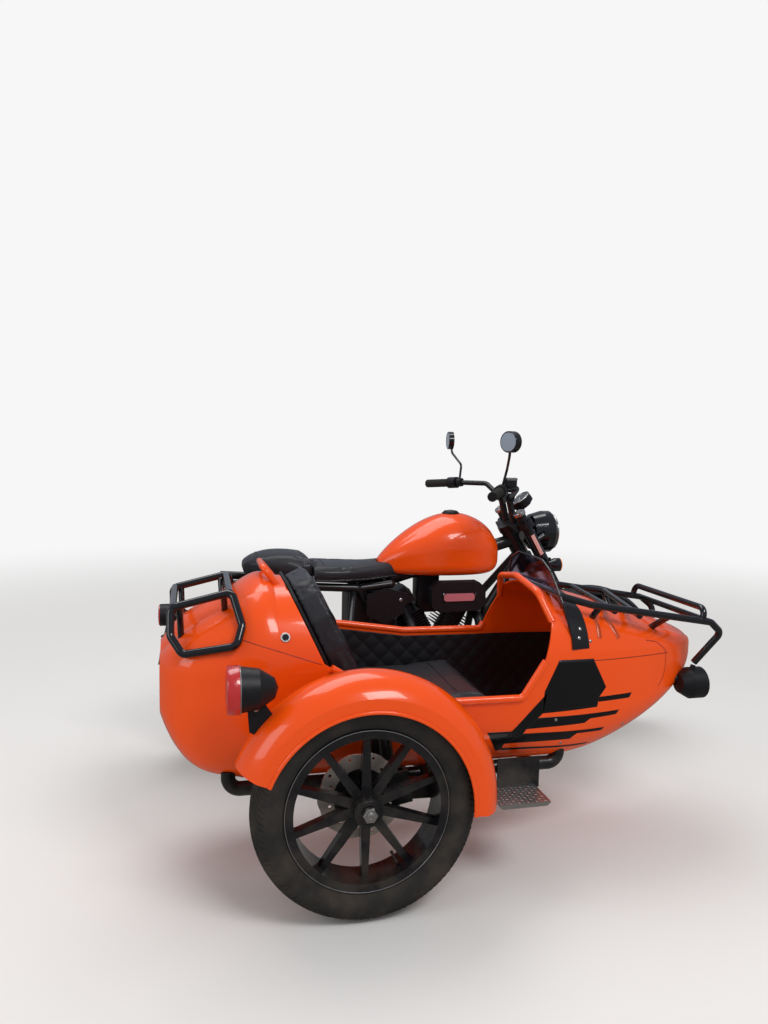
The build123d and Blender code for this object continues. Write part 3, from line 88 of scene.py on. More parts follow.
def grid_quads(rows, columns, close_rows=False, close_columns=False):
    """Quads of a grid of points, row by row, joined end to start where it closes."""
    i = np.arange(rows if close_rows else rows - 1)[:, None]
    j = np.arange(columns if close_columns else columns - 1)[None, :]
    a = (i * columns + j).ravel()
    b = (i * columns + (j + 1) % columns).ravel()
    c = (((i + 1) % rows) * columns + (j + 1) % columns).ravel()
    d = (((i + 1) % rows) * columns + j).ravel()
    return np.stack([a, b, c, d], axis=1)


def put(tree, kind, settings=None, **links):
    """New node of a kind with its settings, and values or links by input name or number."""
    node = tree.nodes.new("ShaderNode" + kind)
    for key, value in (settings or {}).items():
        setattr(node, key, value)
    for key, value in links.items():
        by_number = key[0] == "i" and key[1:].isdigit()
        socket = node.inputs[int(key[1:]) if by_number else key]
        if isinstance(value, bpy.types.NodeSocket):
            tree.links.new(value, socket)
        else:
            socket.default_value = value
    return node


def math_node(tree, operation, a, b=0.0, clamp=False):
    """Output of one Math node."""
    return put(tree, "Math", {"operation": operation, "use_clamp": clamp}, i0=a, i1=b).outputs[0]


def ramp(tree, value, low, high):
    """0 below the low value, 1 above the high one, smooth between."""
    return put(tree, "MapRange", {"interpolation_type": "SMOOTHSTEP"}, Value=value,
               **{"From Min": low, "From Max": high}).outputs[0]


floor_edge = np.array([[-30, -30, 0], [30, -30, 0], [30, 30, 0], [-30, 30, 0]], float)
floor = mesh_piece("studio_floor", floor_edge, [[0, 1, 2, 3]])
floor_paint = bpy.data.materials.new("studio_floor")
floor_paint.use_nodes = True
floor_tree = floor_paint.node_tree
floor_shader = floor_tree.nodes["Principled BSDF"]
floor_shader.inputs["Base Color"].default_value = (0.78, 0.77, 0.76, 1)
floor_shader.inputs["Roughness"].default_value = 0.9
floor_shader.inputs["Specular IOR Level"].default_value = 0.1
FLOOR_NEAR, FLOOR_FAR = 1.6, 7.0       # where the floor starts and ends its fade to the backdrop
floor_reach = put(floor_tree, "VectorMath", {"operation": "LENGTH"},
                  i0=put(floor_tree, "TexCoord").outputs["Object"]).outputs["Value"]
far_floor = put(floor_tree, "Emission", Color=(0.93, 0.93, 0.93, 1)).outputs[0]
floor_mix = put(floor_tree, "MixShader", i0=ramp(floor_tree, floor_reach, FLOOR_NEAR, FLOOR_FAR),
                i1=floor_shader.outputs[0], i2=far_floor).outputs[0]
floor_glimpse = put(floor_tree, "Emission", Color=(0.20, 0.19, 0.18, 1)).outputs[0]
floor_seen = put(floor_tree, "MixShader", i0=put(floor_tree, "LightPath").outputs["Is Glossy Ray"],
                 i1=floor_mix, i2=floor_glimpse).outputs[0]
floor_tree.links.new(floor_seen, floor_tree.nodes["Material Output"].inputs["Surface"])
floor.data.materials.append(floor_paint)

world = bpy.data.worlds.new("studio")
bpy.context.scene.world = world
world.use_nodes = True
sky = world.node_tree
sky.nodes.clear()
plain_sky = put(sky, "Background", Color=(1.0, 0.99, 0.98, 1), Strength=0.50).outputs[0]
seen_sky = put(sky, "Background", Color=(0.93, 0.93, 0.93, 1), Strength=1.0).outputs[0]
dim_sky = put(sky, "Background", Color=(0.80, 0.86, 1.0, 1), Strength=0.34).outputs[0]
rays = put(sky, "LightPath")
camera_or_glass = math_node(sky, "MAXIMUM", rays.outputs["Is Camera Ray"],
                            rays.outputs["Is Transmission Ray"])
in_mirror = put(sky, "MixShader", i0=rays.outputs["Is Glossy Ray"], i1=plain_sky, i2=dim_sky)
pick = put(sky, "MixShader", i0=camera_or_glass, i1=in_mirror.outputs[0], i2=seen_sky)
put(sky, "OutputWorld", Surface=pick.outputs[0])


def lamp(name, place, aim, size, power):
    """Square softbox at a place, aimed at a point."""
    light = bpy.data.lights.new(name, "AREA")
    light.shape = "RECTANGLE"
    light.size, light.size_y = size
    light.energy = power
    holder = bpy.data.objects.new(name, light)
    bpy.context.scene.collection.objects.link(holder)
    holder.location = place
    holder.rotation_mode = "QUATERNION"
    holder.rotation_quaternion = (Vector(aim) - Vector(place)).to_track_quat("-Z", "Y")
    return holder


lamp("softbox_key", (1.2, -3.6, 4.6), (0.0, 0.0, 0.5), (2.2, 1.6), 120)
lamp("softbox_top", (-0.8, 1.4, 4.8), (0.0, -0.1, 0.5), (4.0, 2.4), 95)
lamp("softbox_rear", (-4.4, -1.8, 2.4), (-0.2, -0.2, 0.6), (2.0, 2.0), 30)

YAW, PITCH, ROLL = math.radians(13.73), math.radians(5.40), math.radians(1.11)
FOCAL_PIXELS, LONG_SIDE = 781.94, 1024
ahead = np.array([math.sin(YAW) * math.cos(PITCH), math.cos(YAW) * math.cos(PITCH),
                  -math.sin(PITCH)])
level = np.array([math.cos(YAW), -math.sin(YAW), 0.0])
upright = np.cross(level, ahead)
right = level * math.cos(ROLL) + upright * math.sin(ROLL)
up = upright * math.cos(ROLL) - level * math.sin(ROLL)
camera_data = bpy.data.cameras.new("camera")
camera_data.sensor_width = 36.0
camera_data.lens = FOCAL_PIXELS / LONG_SIDE * camera_data.sensor_width
camera_data.clip_end = 200
camera = bpy.data.objects.new("camera", camera_data)
bpy.context.scene.collection.objects.link(camera)
turn = Matrix(np.stack([right, up, -ahead], axis=1).tolist()).to_4x4()
camera.matrix_world = Matrix.Translation(rows_at([-431.4, -3061.2, 1251.3])) @ turn
bpy.context.scene.camera = camera
bpy.context.scene.view_settings.view_transform = "Standard"

# Frame, struts and chassis
# The motorcycle's tube frame and swing arm and the sidecar's ladder chassis are welded steel,
# powder coated black. Four clamped struts join them. Road dust lies on what is near the ground.


def group_of(name, ins, outs):
    """New shader node group with its input and output nodes. Each input is (name, kind, value)."""
    tree = bpy.data.node_groups.new(name, "ShaderNodeTree")
    for label, kind, value in ins:
        socket = tree.interface.new_socket(label, in_out="INPUT", socket_type="NodeSocket" + kind)
        if value is not None:
            socket.default_value = value
    for label, kind in outs:
        tree.interface.new_socket(label, in_out="OUTPUT", socket_type="NodeSocket" + kind)
    return tree, tree.nodes.new("NodeGroupInput"), tree.nodes.new("NodeGroupOutput")


def mixed(tree, factor, a, b):
    """Mix of two colours."""
    node = put(tree, "Mix", {"data_type": "RGBA"})
    for socket, value in ((node.inputs[0], factor), (node.inputs[6], a), (node.inputs[7], b)):
        if isinstance(value, bpy.types.NodeSocket):
            tree.links.new(value, socket)
        else:
            socket.default_value = value
    return node.outputs[2]


# Road use: dust that thins out with height, soft mottling and a fine moulded or sprayed grain
road_use, given, made = group_of("road_use", [
    ("Place", "Vector", None), ("Colour", "Color", (0.1, 0.1, 0.1, 1)),
    ("Dust Colour", "Color", (0.30, 0.24, 0.18, 1)), ("Dust Height", "Float", 0.45),
    ("Dust Amount", "Float", 0.3), ("Roughness", "Float", 0.4), ("Mottle", "Float", 0.12),
    ("Grain Scale", "Float", 900.0), ("Grain Depth", "Float", 0.3)],
    [("Colour", "Color"), ("Roughness", "Float"), ("Height", "Float"), ("Dust", "Float")])
place_z = put(road_use, "SeparateXYZ", i0=given.outputs["Place"]).outputs[2]
height_map = put(road_use, "MapRange", Value=place_z,
                 **{"From Min": 0.0, "From Max": given.outputs["Dust Height"]})
low_down = math_node(road_use, "SUBTRACT", 1.0, height_map.outputs[0], True)
blotch = put(road_use, "TexNoise", Vector=given.outputs["Place"], Scale=14.0, Detail=6.0)
fleck = put(road_use, "TexNoise", Vector=given.outputs["Place"], Scale=160.0, Detail=3.0)
dusty = math_node(road_use, "MULTIPLY", low_down, ramp(road_use, blotch.outputs[0], 0.36, 0.68))
dusty = math_node(road_use, "ADD", dusty, math_node(
    road_use, "MULTIPLY", ramp(road_use, fleck.outputs[0], 0.60, 0.74), 0.25))
dusty = math_node(road_use, "MULTIPLY", dusty, given.outputs["Dust Amount"], True)
tone = put(road_use, "TexNoise", Vector=given.outputs["Place"], Scale=5.0, Detail=4.0)
shift = math_node(road_use, "MULTIPLY", math_node(road_use, "SUBTRACT", tone.outputs[0], 0.5),
                  given.outputs["Mottle"])
darker = put(road_use, "HueSaturation", i4=given.outputs["Colour"],
             Value=math_node(road_use, "ADD", shift, 1.0)).outputs[0]
road_use.links.new(mixed(road_use, dusty, darker, given.outputs["Dust Colour"]),
                   made.inputs["Colour"])
rougher = math_node(road_use, "ADD", given.outputs["Roughness"],
                    math_node(road_use, "MULTIPLY", dusty, 0.45))
road_use.links.new(math_node(road_use, "ADD", rougher, math_node(
    road_use, "MULTIPLY", shift, 0.6), True), made.inputs["Roughness"])
grain = put(road_use, "TexNoise", Vector=given.outputs["Place"], Scale=given.outputs["Grain Scale"],
            Detail=2.0)
road_use.links.new(math_node(road_use, "MULTIPLY", grain.outputs[0], given.outputs["Grain Depth"]),
                   made.inputs["Height"])
road_use.links.new(dusty, made.inputs["Dust"])


def finish_of(name, colour, roughness, metallic=0.0, coat=0.0, specular=0.5, dust=0.3,
              dust_height=0.45, mottle=0.12, grain=(900.0, 0.3), bump=0.0002,
              dust_colour=(0.30, 0.24, 0.18, 1)):
    """Material with one shader, fed by the road use group. Returns it with its shader and group."""
    material = bpy.data.materials.new(name)
    material.use_nodes = True
    tree = material.node_tree
    shader = tree.nodes["Principled BSDF"]
    for label, value in (("Metallic", metallic), ("Coat Weight", coat), ("Coat Roughness", 0.06),
                         ("Specular IOR Level", specular)):
        shader.inputs[label].default_value = value
    use = tree.nodes.new("ShaderNodeGroup")
    use.node_tree = road_use
    tree.links.new(put(tree, "TexCoord").outputs["Object"], use.inputs["Place"])
    for label, value in (("Colour", (*colour, 1)), ("Dust Colour", dust_colour),
                         ("Dust Height", dust_height), ("Dust Amount", dust),
                         ("Roughness", roughness), ("Mottle", mottle),
                         ("Grain Scale", grain[0]), ("Grain Depth", grain[1])):
        use.inputs[label].default_value = value
    relief = put(tree, "Bump", Height=use.outputs["Height"], Strength=1.0, Distance=bump)
    tree.links.new(use.outputs["Colour"], shader.inputs["Base Color"])
    tree.links.new(use.outputs["Roughness"], shader.inputs["Roughness"])
    tree.links.new(relief.outputs[0], shader.inputs["Normal"])
    return material, shader, use, relief


def banded(material, relief, direction, scale, depth):
    """Gives a material straight ridges across one direction in place of its grain."""
    tree = material.node_tree
    bands = put(tree, "TexWave", {"wave_type": "BANDS", "bands_direction": direction},
                Vector=put(tree, "TexCoord").outputs["Object"], Scale=scale)
    tree.links.new(bands.outputs["Fac"], relief.inputs["Height"])
    relief.inputs["Distance"].default_value = depth


def dress(material, *names):
    """Gives CAD nodes one material."""
    for name in names:
        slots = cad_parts[name].data.materials
        slots.clear()
        slots.append(material)


black_coat = finish_of("black_powder_coat", (0.006, 0.006, 0.007), 0.36, coat=0.3, specular=0.35,
                       grain=(700.0, 0.5), dust=0.22, dust_height=0.5)[0]
dress(black_coat, "frame", "swingarm", "struts", "sidecar_chassis", "wheel_arm", "step_hanger")

# Wheels
# Cast rims painted gloss black, with a bright steel line at each flange as a painted highlight on
# the lip, carry worn road tyres with slanted grooves. Each wheel has its own brake disc.
BEAD_R, REAR_BEAD_R, FLANGE = 203.0, 190.5, 14.0
WHEELS = {   # name: (axle x, y, z, tyre radius, width, bead radius, seat half, treads)
    "front": (1240.0, 0.0, 299.0, 299.0, 120.0, BEAD_R, 38.4, 54),
    "rear": (-160.0, 0.0, 310.5, 310.5, 150.0, REAR_BEAD_R, 48.0, 50),
    "sidecar": (0.0, -1150.0, 299.0, 299.0, 120.0, BEAD_R, 38.4, 54),
}
FRONT_HUB = np.array(WHEELS["front"][:3])


def arc(a, b, c, count):
    """Points of the circle arc from a through b to c, evenly turned, in a plane."""
    a, b, c = (np.asarray(v, float) for v in (a, b, c))
    m = np.array([b - a, c - b]) * 2
    centre = np.linalg.solve(m, np.array([b @ b - a @ a, c @ c - b @ b]))
    start, middle, end = (math.atan2(*(v - centre)[::-1]) for v in (a, b, c))
    middle = start + (middle - start + math.pi) % (2 * math.pi) - math.pi
    end = middle + (end - middle + math.pi) % (2 * math.pi) - math.pi
    t = np.linspace(start, end, count)
    return centre + np.linalg.norm(a - centre) * np.stack([np.cos(t), np.sin(t)], axis=1)


def tread_tyre(name, centre, radius, width, bead, seat, treads):
    """Tyre surface: the section (foot, bulging wall, round crown and its mirror) is carried round
    the axle. Columns lean with the distance from the middle, so that every groove lies along one
    column; there the radius drops by the groove's depth, faded out at both its ends."""
    height = radius - bead
    shoulder = (radius - 0.17 * height, 0.43 * width)
    side = (bead + FLANGE + 0.42 * (height - FLANGE), 0.5 * width)
    foot = (bead + FLANGE, seat)
    wall = arc(foot, side, shoulder, 12)
    crown = arc(shoulder, (radius, 0.0), (shoulder[0], -shoulder[1]), 33)
    section = np.concatenate([[(bead, seat)], wall[:-1], crown, (wall[::-1] * [1, -1])[1:],
                              [(bead, -seat)]])
    r, across = section[:, 0], section[:, 1]
    ribs = [(bead + FLANGE + 5.0, 0.7), (bead + FLANGE + 9.0, 0.7)]
    per = 12
    columns = treads * per
    lean = 1.5 * (np.abs(across) / (0.5 * width)) ** 1.35 * (2 * math.pi / treads)
    angle = np.arange(columns)[:, None] * (2 * math.pi / columns) + lean[None, :]
    column = np.arange(columns)[:, None] % per
    away = np.abs(across)[None, :] / (0.5 * width)
    left = np.where(across[None, :] >= 0, np.abs(column - 2.5), np.abs(column - 8.5))
    long_cut = np.clip(1.6 - left, 0, 1) * np.clip((away - 0.10) * 9, 0, 1)
    short = np.where(across[None, :] >= 0, np.abs(column - 8.5), np.abs(column - 2.5))
    short_cut = np.clip(1.6 - short, 0, 1) * np.clip((away - 0.46) * 9, 0, 1)
    cut = np.maximum(long_cut, short_cut) * np.clip((0.985 - away) * 14, 0, 1)
    cut = np.where(r[None, :] > shoulder[0] - 0.20 * height, cut, 0.0)
    wrap = np.clip(1.3 - np.abs(across)[None, :] / 1.6, 0, 1) * 0.55
    drop = 5.0 * np.maximum(cut, wrap * (r[None, :] > shoulder[0]))
    for place, rise in ribs:
        drop = drop - rise * np.exp(-((r[None, :] - place) / 0.9) ** 2) * (r[None, :] < shoulder[0])
    spun = r[None, :] - drop
    x = centre[0] + spun * np.cos(angle)
    z = centre[2] + spun * np.sin(angle)
    y = np.broadcast_to(centre[1] + across[None, :], x.shape)
    points = rows_at(np.stack([x, y, z], axis=-1).reshape(-1, 3))
    faces = grid_quads(columns, len(section), close_rows=True, close_columns=True)
    return mesh_piece(name, points, faces[:, ::-1])


rubber = finish_of("tyre_rubber", (0.020, 0.019, 0.018), 0.82, specular=0.25, dust=0.30,
                   dust_height=0.9, grain=(1400.0, 0.8), dust_colour=(0.13, 0.095, 0.07, 1))[0]
for wheel, (x, y, z, radius, width, bead, seat, treads) in WHEELS.items():
    tyre = tread_tyre(wheel + "_tread", (x, y, z), radius, width, bead, seat, treads)
    tyre.data.materials.append(rubber)
    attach(tyre, wheel + "_wheel")
    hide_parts(wheel + "_tyre")


def square_to(axis):
    """An axis as a unit vector, with two more that are square to it and to each other."""
    axis = np.asarray(axis, float) / np.linalg.norm(axis)
    side = np.cross(axis, [0.0, 0.0, 1.0] if abs(axis[2]) < 0.9 else [1.0, 0.0, 0.0])
    side = side / np.linalg.norm(side)
    return axis, side, np.cross(axis, side)


def turned(centre, axis, profile, steps=48):
    """Turned form: each row of the profile, (distance along the axis, radius), is carried round
    the axis through the centre. Points in millimetres, and quads."""
    axis, side, other = square_to(axis)
    turn = np.arange(steps) * (2 * math.pi / steps)
    ring = np.cos(turn)[:, None] * side + np.sin(turn)[:, None] * other
    along, radius = np.asarray(profile, float).T
    points = np.asarray(centre, float) + along[None, :, None] * axis
    points = points + radius[None, :, None] * ring[:, None, :]
    return points.reshape(-1, 3), grid_quads(steps, len(along), close_rows=True)


def hoop(centre, axis, radius, thin, steps=96, around=10):
    """Round ring: a circle of the thin radius is carried round the axis at the big radius."""
    t = np.linspace(0, 2 * math.pi, around + 1)
    return turned(centre, axis, np.stack([thin * np.sin(t), radius + thin * np.cos(t)], 1), steps)


def hex_head(centre, axis, radius, height):
    """Six-sided bolt head with a flat face and a chamfer."""
    return turned(centre, axis, [(-0.4, 0), (-0.4, radius), (0.78 * height, radius),
                                 (height, 0.84 * radius), (height, 0)], 6)


def round_head(centre, axis, radius, height):
    """Low round head: the radius falls to nothing as a quarter ellipse while the height rises."""
    t = np.linspace(0, math.pi / 2, 6)
    crown = np.stack([height * np.sin(t), radius * np.cos(t)], 1)
    return turned(centre, axis, np.concatenate([[(-0.4, 0), (-0.4, radius)], crown]), 20)


SHARP = math.radians(38)      # faces that meet at more than this show an edge


def joined(name, forms, smooth=True):
    """One closed piece from several forms, each (points in millimetres, quads)."""
    points, faces, first = [], [], 0
    for form_points, form_faces in forms:
        points.append(form_points)
        faces.append(form_faces + first)
        first += len(form_points)
    piece = mesh_piece(name, rows_at(np.concatenate(points)), np.concatenate(faces), smooth, True)
    piece.data.set_sharp_from_angle(angle=SHARP)
    return piece


def fitted(piece, material, body, slot, *nodes):
    """Gives a piece its material, the body it rides on and the nodes it stands for.
    The slot is not used.
    """
    piece.data.materials.append(material)
    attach(piece, body)
    if nodes:
        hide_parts(*nodes)
    return piece


def trim(name, forms, material, body, slot):
    """One closed piece from several forms, fitted as it is."""
    return fitted(joined(name, forms), material, body, slot)


def baked(piece):
    """Applies a piece's modifiers to its mesh."""
    bpy.context.view_layer.update()
    shape = bpy.data.meshes.new_from_object(
        piece.evaluated_get(bpy.context.evaluated_depsgraph_get()))
    piece.modifiers.clear()
    piece.data = shape
    return piece


rim_paint = finish_of("rim_gloss_black", (0.005, 0.005, 0.007), 0.26, coat=0.35, specular=0.35,
                      dust=0.12, dust_height=0.6)[0]
dress(rim_paint, "front_rim", "rear_rim", "sidecar_rim")
bare_steel = finish_of("bare_steel", (0.56, 0.55, 0.54), 0.28, metallic=1.0, dust=0.16,
                       dust_height=0.7, grain=(500.0, 0.4))[0]
disc_steel = finish_of("disc_steel", (0.86, 0.76, 0.66), 0.48, metallic=1.0, dust=0.10,
                       dust_height=0.7)[0]

# Each disc is a flat steel ring with a waved edge, drilled twice in every wave, on a black carrier
DISCS = {   # wheel: (y of the face, radius, waves)
    "front": (50.0, 140.0, 12),
    "rear": (-91.0, 120.0, 10),
    "sidecar": (-1100.0, 118.0, 10),
}
DISC_T, DISC_BORE, WAVE = 5.0, 10.06, 4.0
DISC_INNER = 0.60      # inner edge of the ring, as a share of its radius
DRILL_R = 4.6
for wheel, (y, radius, waves) in DISCS.items():
    name, body = wheel + "_disc", wheel + "_wheel"
    x, z = WHEELS[wheel][0], WHEELS[wheel][2]
    turn = np.arange(waves * 18) * (2 * math.pi / (waves * 18))
    edge = radius - WAVE * (0.5 - 0.5 * np.cos(waves * turn)) ** 2
    inner = np.full_like(edge, DISC_INNER * radius)
    reach = np.stack([inner, edge, edge, inner, inner], axis=1)
    depth = np.array([0.0, 0.0, DISC_T, DISC_T, 0.0])
    points = np.stack([x + reach * np.cos(turn)[:, None], np.broadcast_to(y + depth, reach.shape),
                       z + reach * np.sin(turn)[:, None]], axis=-1).reshape(-1, 3)
    ring = joined(name + "_ring", [(points, grid_quads(len(turn), 5, close_rows=True))])
    drills = []
    for hole in range(waves):
        for out, lead in ((0.89, 0.0), (0.74, 0.42)):
            a = (hole + lead) * 2 * math.pi / waves
            spot = (x + out * radius * math.cos(a), y - 4, z + out * radius * math.sin(a))
            drills.append(turned(spot, (0, 1, 0),
                                 [(0, 0), (0, DRILL_R), (13, DRILL_R), (13, 0)], 16))
    cutter = joined("drill", drills)
    cut = ring.modifiers.new("drilled", "BOOLEAN")
    cut.object, cut.operation, cut.solver = cutter, "DIFFERENCE", "EXACT"
    baked(ring)
    bpy.data.objects.remove(cutter)
    ring.data.set_sharp_from_angle(angle=SHARP)
    fitted(ring, disc_steel, body, "bare_steel", name)
    carrier = [turned((x, y, z), (0, 1, 0), [(-0.6, 0.64 * radius), (-0.6, 0.44 * radius),
                                             (0.5, 0.40 * radius), (0.5, DISC_BORE),
                                             (4.5, DISC_BORE), (4.5, 0.44 * radius),
                                             (5.6, 0.46 * radius), (5.6, 0.64 * radius),
                                             (-0.6, 0.64 * radius)], 60)]
    for pin in range(waves // 2):
        a = (2 * pin + 0.5) * 2 * math.pi / waves
        out = DISC_INNER * radius
        spot = (x + out * math.cos(a), y - 1.6, z + out * math.sin(a))
        carrier.append(turned(spot, (0, 1, 0), [(0, 0), (0, 6.0), (8.2, 6.0), (8.2, 0)], 18))
    trim(name + "_carrier", carrier, rim_paint, body, "rim_black")

# A bright steel line runs round both flanges of every rim as a painted highlight on its lip, and
# each rim has its valve
for wheel, (x, y, z, radius, width, bead, seat, treads) in WHEELS.items():
    lines = [hoop((x, y + side * (seat + 6.1), z), (0, 1, 0), bead + FLANGE - 1.8, 1.1, 140, 8)
             for side in (-1, 1)]
    trim(wheel + "_flange_highlight_lines", lines, bare_steel, wheel + "_wheel", "bare_steel")
    lean = math.radians(-62)
    inward = np.array([-math.cos(lean), 0, -math.sin(lean)])
    foot = np.array([x, y, z]) - inward * (bead - 16)
    valve = turned(foot, inward, [(0, 0), (0, 6.5), (5, 5.5), (7, 3.6), (24, 3.4), (24.5, 4.2),
                                  (32, 4.2), (33, 3.4), (33, 0)], 20)
    trim(wheel + "_valve", [valve], rubber, wheel + "_wheel", "tyre_rubber")

# The sidecar's axle ends in a six-sided nut and a domed end, both bright steel
NUT_Y = -1205.4
hub_nut = [
    turned((0, NUT_Y, 299), (0, -1, 0), [(0.3, 17.05), (0.3, 20.4), (11.4, 20.4), (13.4, 18.6),
                                         (13.4, 10.1), (12.7, 10.1), (12.7, 17.05),
                                         (0.3, 17.05)], 6),
    turned((0, NUT_Y, 299), (0, -1, 0), [(12.8, 10.05), (16.9, 10.3), (18.2, 8.6), (18.2, 4.2),
                                         (16.7, 3.6), (16.7, 0)], 30),
]
trim("sidecar_axle_nut", hub_nut, bare_steel, "chassis", "bare_steel")
hub_rings = [hoop((0, -1200.1, 299), (0, 1, 0), 33, 2.2, 60, 8)]
trim("sidecar_hub_ring", hub_rings, rim_paint, "sidecar_wheel", "rim_black")
cap_rings = [hoop((1240, y, 299), (0, 1, 0), 33, 2.2, 60, 8) for y in (-50.1, 50.1)]
trim("front_hub_rings", cap_rings, rim_paint, "front_wheel", "rim_black")

# Fork and front fender
# Two black fork legs lean back 30 degrees between two clamps. Their top caps are bright, a pale
# pink reflector is stuck to each lower leg, and the moulded fender hangs between the legs.
black_metal = finish_of("satin_black_metal", (0.005, 0.005, 0.006), 0.38, coat=0.15, specular=0.35,
                        dust=0.12)[0]
dress(black_metal, "fork", "front_caliper", "handlebar", "foot_pegs", "rear_shocks")
black_moulding = finish_of("black_moulding", (0.006, 0.006, 0.008), 0.44, specular=0.34, dust=0.10,
                           grain=(1600.0, 0.8))[0]
dress(black_moulding, "front_fender", "rear_fender", "side_covers", "air_cleaner",
      "hand_controls", "instrument", "screen_base", "fog_lamps", "fender_lamp", "tail_lamp",
      "backrest_board")
FORK_TILT, LEG_Y = math.radians(30), 102.0
LEG_AXIS = np.array([-math.sin(FORK_TILT), 0, math.cos(FORK_TILT)])
LEG_AHEAD = np.array([math.cos(FORK_TILT), 0, math.sin(FORK_TILT)])


def on_leg(distance, ahead_of=0.0, y=0.0):
    """Point at a distance up the fork's line from the front axle, and ahead of that line."""
    return FRONT_HUB + [0, y, 0] + distance * LEG_AXIS + ahead_of * LEG_AHEAD


fork_trim = []
for side in (-1, 1):
    cap = on_leg(764, 0, LEG_Y * side)
    fork_trim.append(turned(cap, LEG_AXIS, [(-13, 23.7), (-13, 25.0), (-2, 25.4), (1.2, 23.0),
                                            (1.6, 14), (1.2, 13), (1.2, 0), (0.1, 0), (0.1, 23.7),
                                            (-13, 23.7)], 48))
    fork_trim.append(hex_head(cap + LEG_AXIS, LEG_AXIS, 11.5, 6.5))
trim("fork_caps", fork_trim, bare_steel, "steering", "bare_steel")


def lofted(rings):
    """Closed form through a row of rings of points, each end drawn in to its own middle."""
    rings = np.asarray(rings, float)
    ends = [np.broadcast_to(ring.mean(axis=0), (1, *ring.shape)) for ring in (rings[0], rings[-1])]
    rings = np.concatenate([ends[0], rings, ends[1]])
    return rings.reshape(-1, 3), grid_quads(len(rings), rings.shape[1], close_columns=True)


def rounded(half_wide, half_high, corner, count=48):
    """Rounded rectangle, or an ellipse-like lozenge: quarter circles of the corner's radius, moved
    out to the four corners."""
    turn = (np.arange(count) + 0.5) * (2 * math.pi / count)
    c, s = np.cos(turn), np.sin(turn)
    return np.stack([np.sign(c) * (half_wide - corner) + corner * c,
                     np.sign(s) * (half_high - corner) + corner * s], axis=1)


def slab(centre, normal, upward, outline, thick, edge=0.3):
    """Thin plate: an outline square to the normal, carried out by the thickness, its outer edge
    drawn in a little."""
    normal = np.asarray(normal, float) / np.linalg.norm(normal)
    wide = np.cross(upward, normal)
    wide = wide / np.linalg.norm(wide)
    high = np.cross(normal, wide)
    flat = outline[:, :1] * wide + outline[:, 1:] * high
    centre = np.asarray(centre, float)
    reach = np.abs(outline).max()
    return lofted([centre + flat, centre + flat + (thick - edge) * normal,
                   centre + flat * (1 - edge / reach) + thick * normal])


reflector_resin = finish_of("reflector_resin", (0.74, 0.36, 0.33), 0.16, coat=0.8, dust=0.05,
                            grain=(300.0, 1.5))[0]
strips = []
for side in (-1, 1):
    around = np.linspace(-0.30, 0.30, 9)
    loop_turn = np.concatenate([around, around[::-1]])
    loop_r = np.concatenate([np.full(9, 24.65), np.full(9, 26.4)])[:, None]
    loop = loop_r * (np.cos(loop_turn)[:, None] * np.array([0, side, 0])
                     + np.sin(loop_turn)[:, None] * LEG_AHEAD)
    runs = np.linspace(566, 658, 12)[:, None, None] * LEG_AXIS
    strips.append(lofted(on_leg(0, 0, LEG_Y * side) + runs + loop[None]))
trim("fork_reflectors", strips, reflector_resin, "steering", "gloss_black_plastic")

# Engine, exhaust and drive
# A finned twin in black castings with screwed side covers. The air box has a plain rounded plate
# on its cover. The silencer's end is a stepped cap, and a chain drives the rear wheel.
engine_black = finish_of("engine_black", (0.006, 0.006, 0.008), 0.42, specular=0.40,
                         grain=(500.0, 1.0), dust=0.14)[0]
dress(engine_black, "engine", "exhaust")
chain_steel = finish_of("chain_steel", (0.17, 0.15, 0.13), 0.42, metallic=1.0,
                        grain=(260.0, 1.0), bump=0.0012)[0]
dress(chain_steel, "drive_chain")
cooler, _, _, cooler_relief = finish_of("cooler_fins", (0.014, 0.014, 0.015), 0.5, dust=0.3)
banded(cooler, cooler_relief, "Z", 90.0, 0.002)
dress(cooler, "radiator")

CLUTCH, DYNAMO, COVER_Y = (585, 345), (420, 345), -118      # the covers' middles, and their faces
cover_bolts = []
for x, z, radius, count in ((*CLUTCH, 84, 9), (*DYNAMO, 66, 7)):
    for number in range(count):
        a = 2 * math.pi * (number + 0.35) / count
        spot = (x + radius * math.cos(a), COVER_Y, z + radius * math.sin(a))
        if x == CLUTCH[0] or math.hypot(spot[0] - CLUTCH[0], spot[2] - CLUTCH[1]) > 80:
            cover_bolts.append(turned(spot, (0, -1, 0), [(-0.4, 0), (-0.4, 8.5), (1.5, 8.5),
                                                         (1.5, 6), (1.4, 5.4), (7, 5.2), (7.6, 4.6),
                                                         (7.6, 2.8), (5.5, 2.6), (5.5, 0)], 20))
trim("cover_bolts", cover_bolts, bare_steel, "chassis", "bare_steel")
cover_rims = [hoop((x, COVER_Y, z), (0, 1, 0), radius, 2.2, steps, 8)
              for (x, z), radius, steps in ((CLUTCH, 66, 90), (DYNAMO, 46, 70))]
trim("cover_rims", cover_rims, engine_black, "chassis", "engine_black")


def panel_box(x, z, half_x, half_z, half_y, corner):
    """Box with rounded upright corners, its outline in the side view carried across."""
    outline = rounded(half_x, half_z, corner, 56)
    steps = np.array([[-half_y, 0.96], [-half_y + 4, 1.0], [half_y - 4, 1.0], [half_y, 0.96]])
    rings = [np.stack([x + outline[:, 0] * share, np.full(len(outline), y),
                       z + outline[:, 1] * share], 1) for y, share in steps]
    return lofted(rings)


# Moulded boxes fill the frame: the battery box under the seat and the intake box in the V
inner_boxes = [panel_box(258, 560, 98, 80, 66, 18), panel_box(500, 640, 46, 96, 40, 16)]
trim("inner_boxes", inner_boxes, black_moulding, "chassis", "black_plastic")

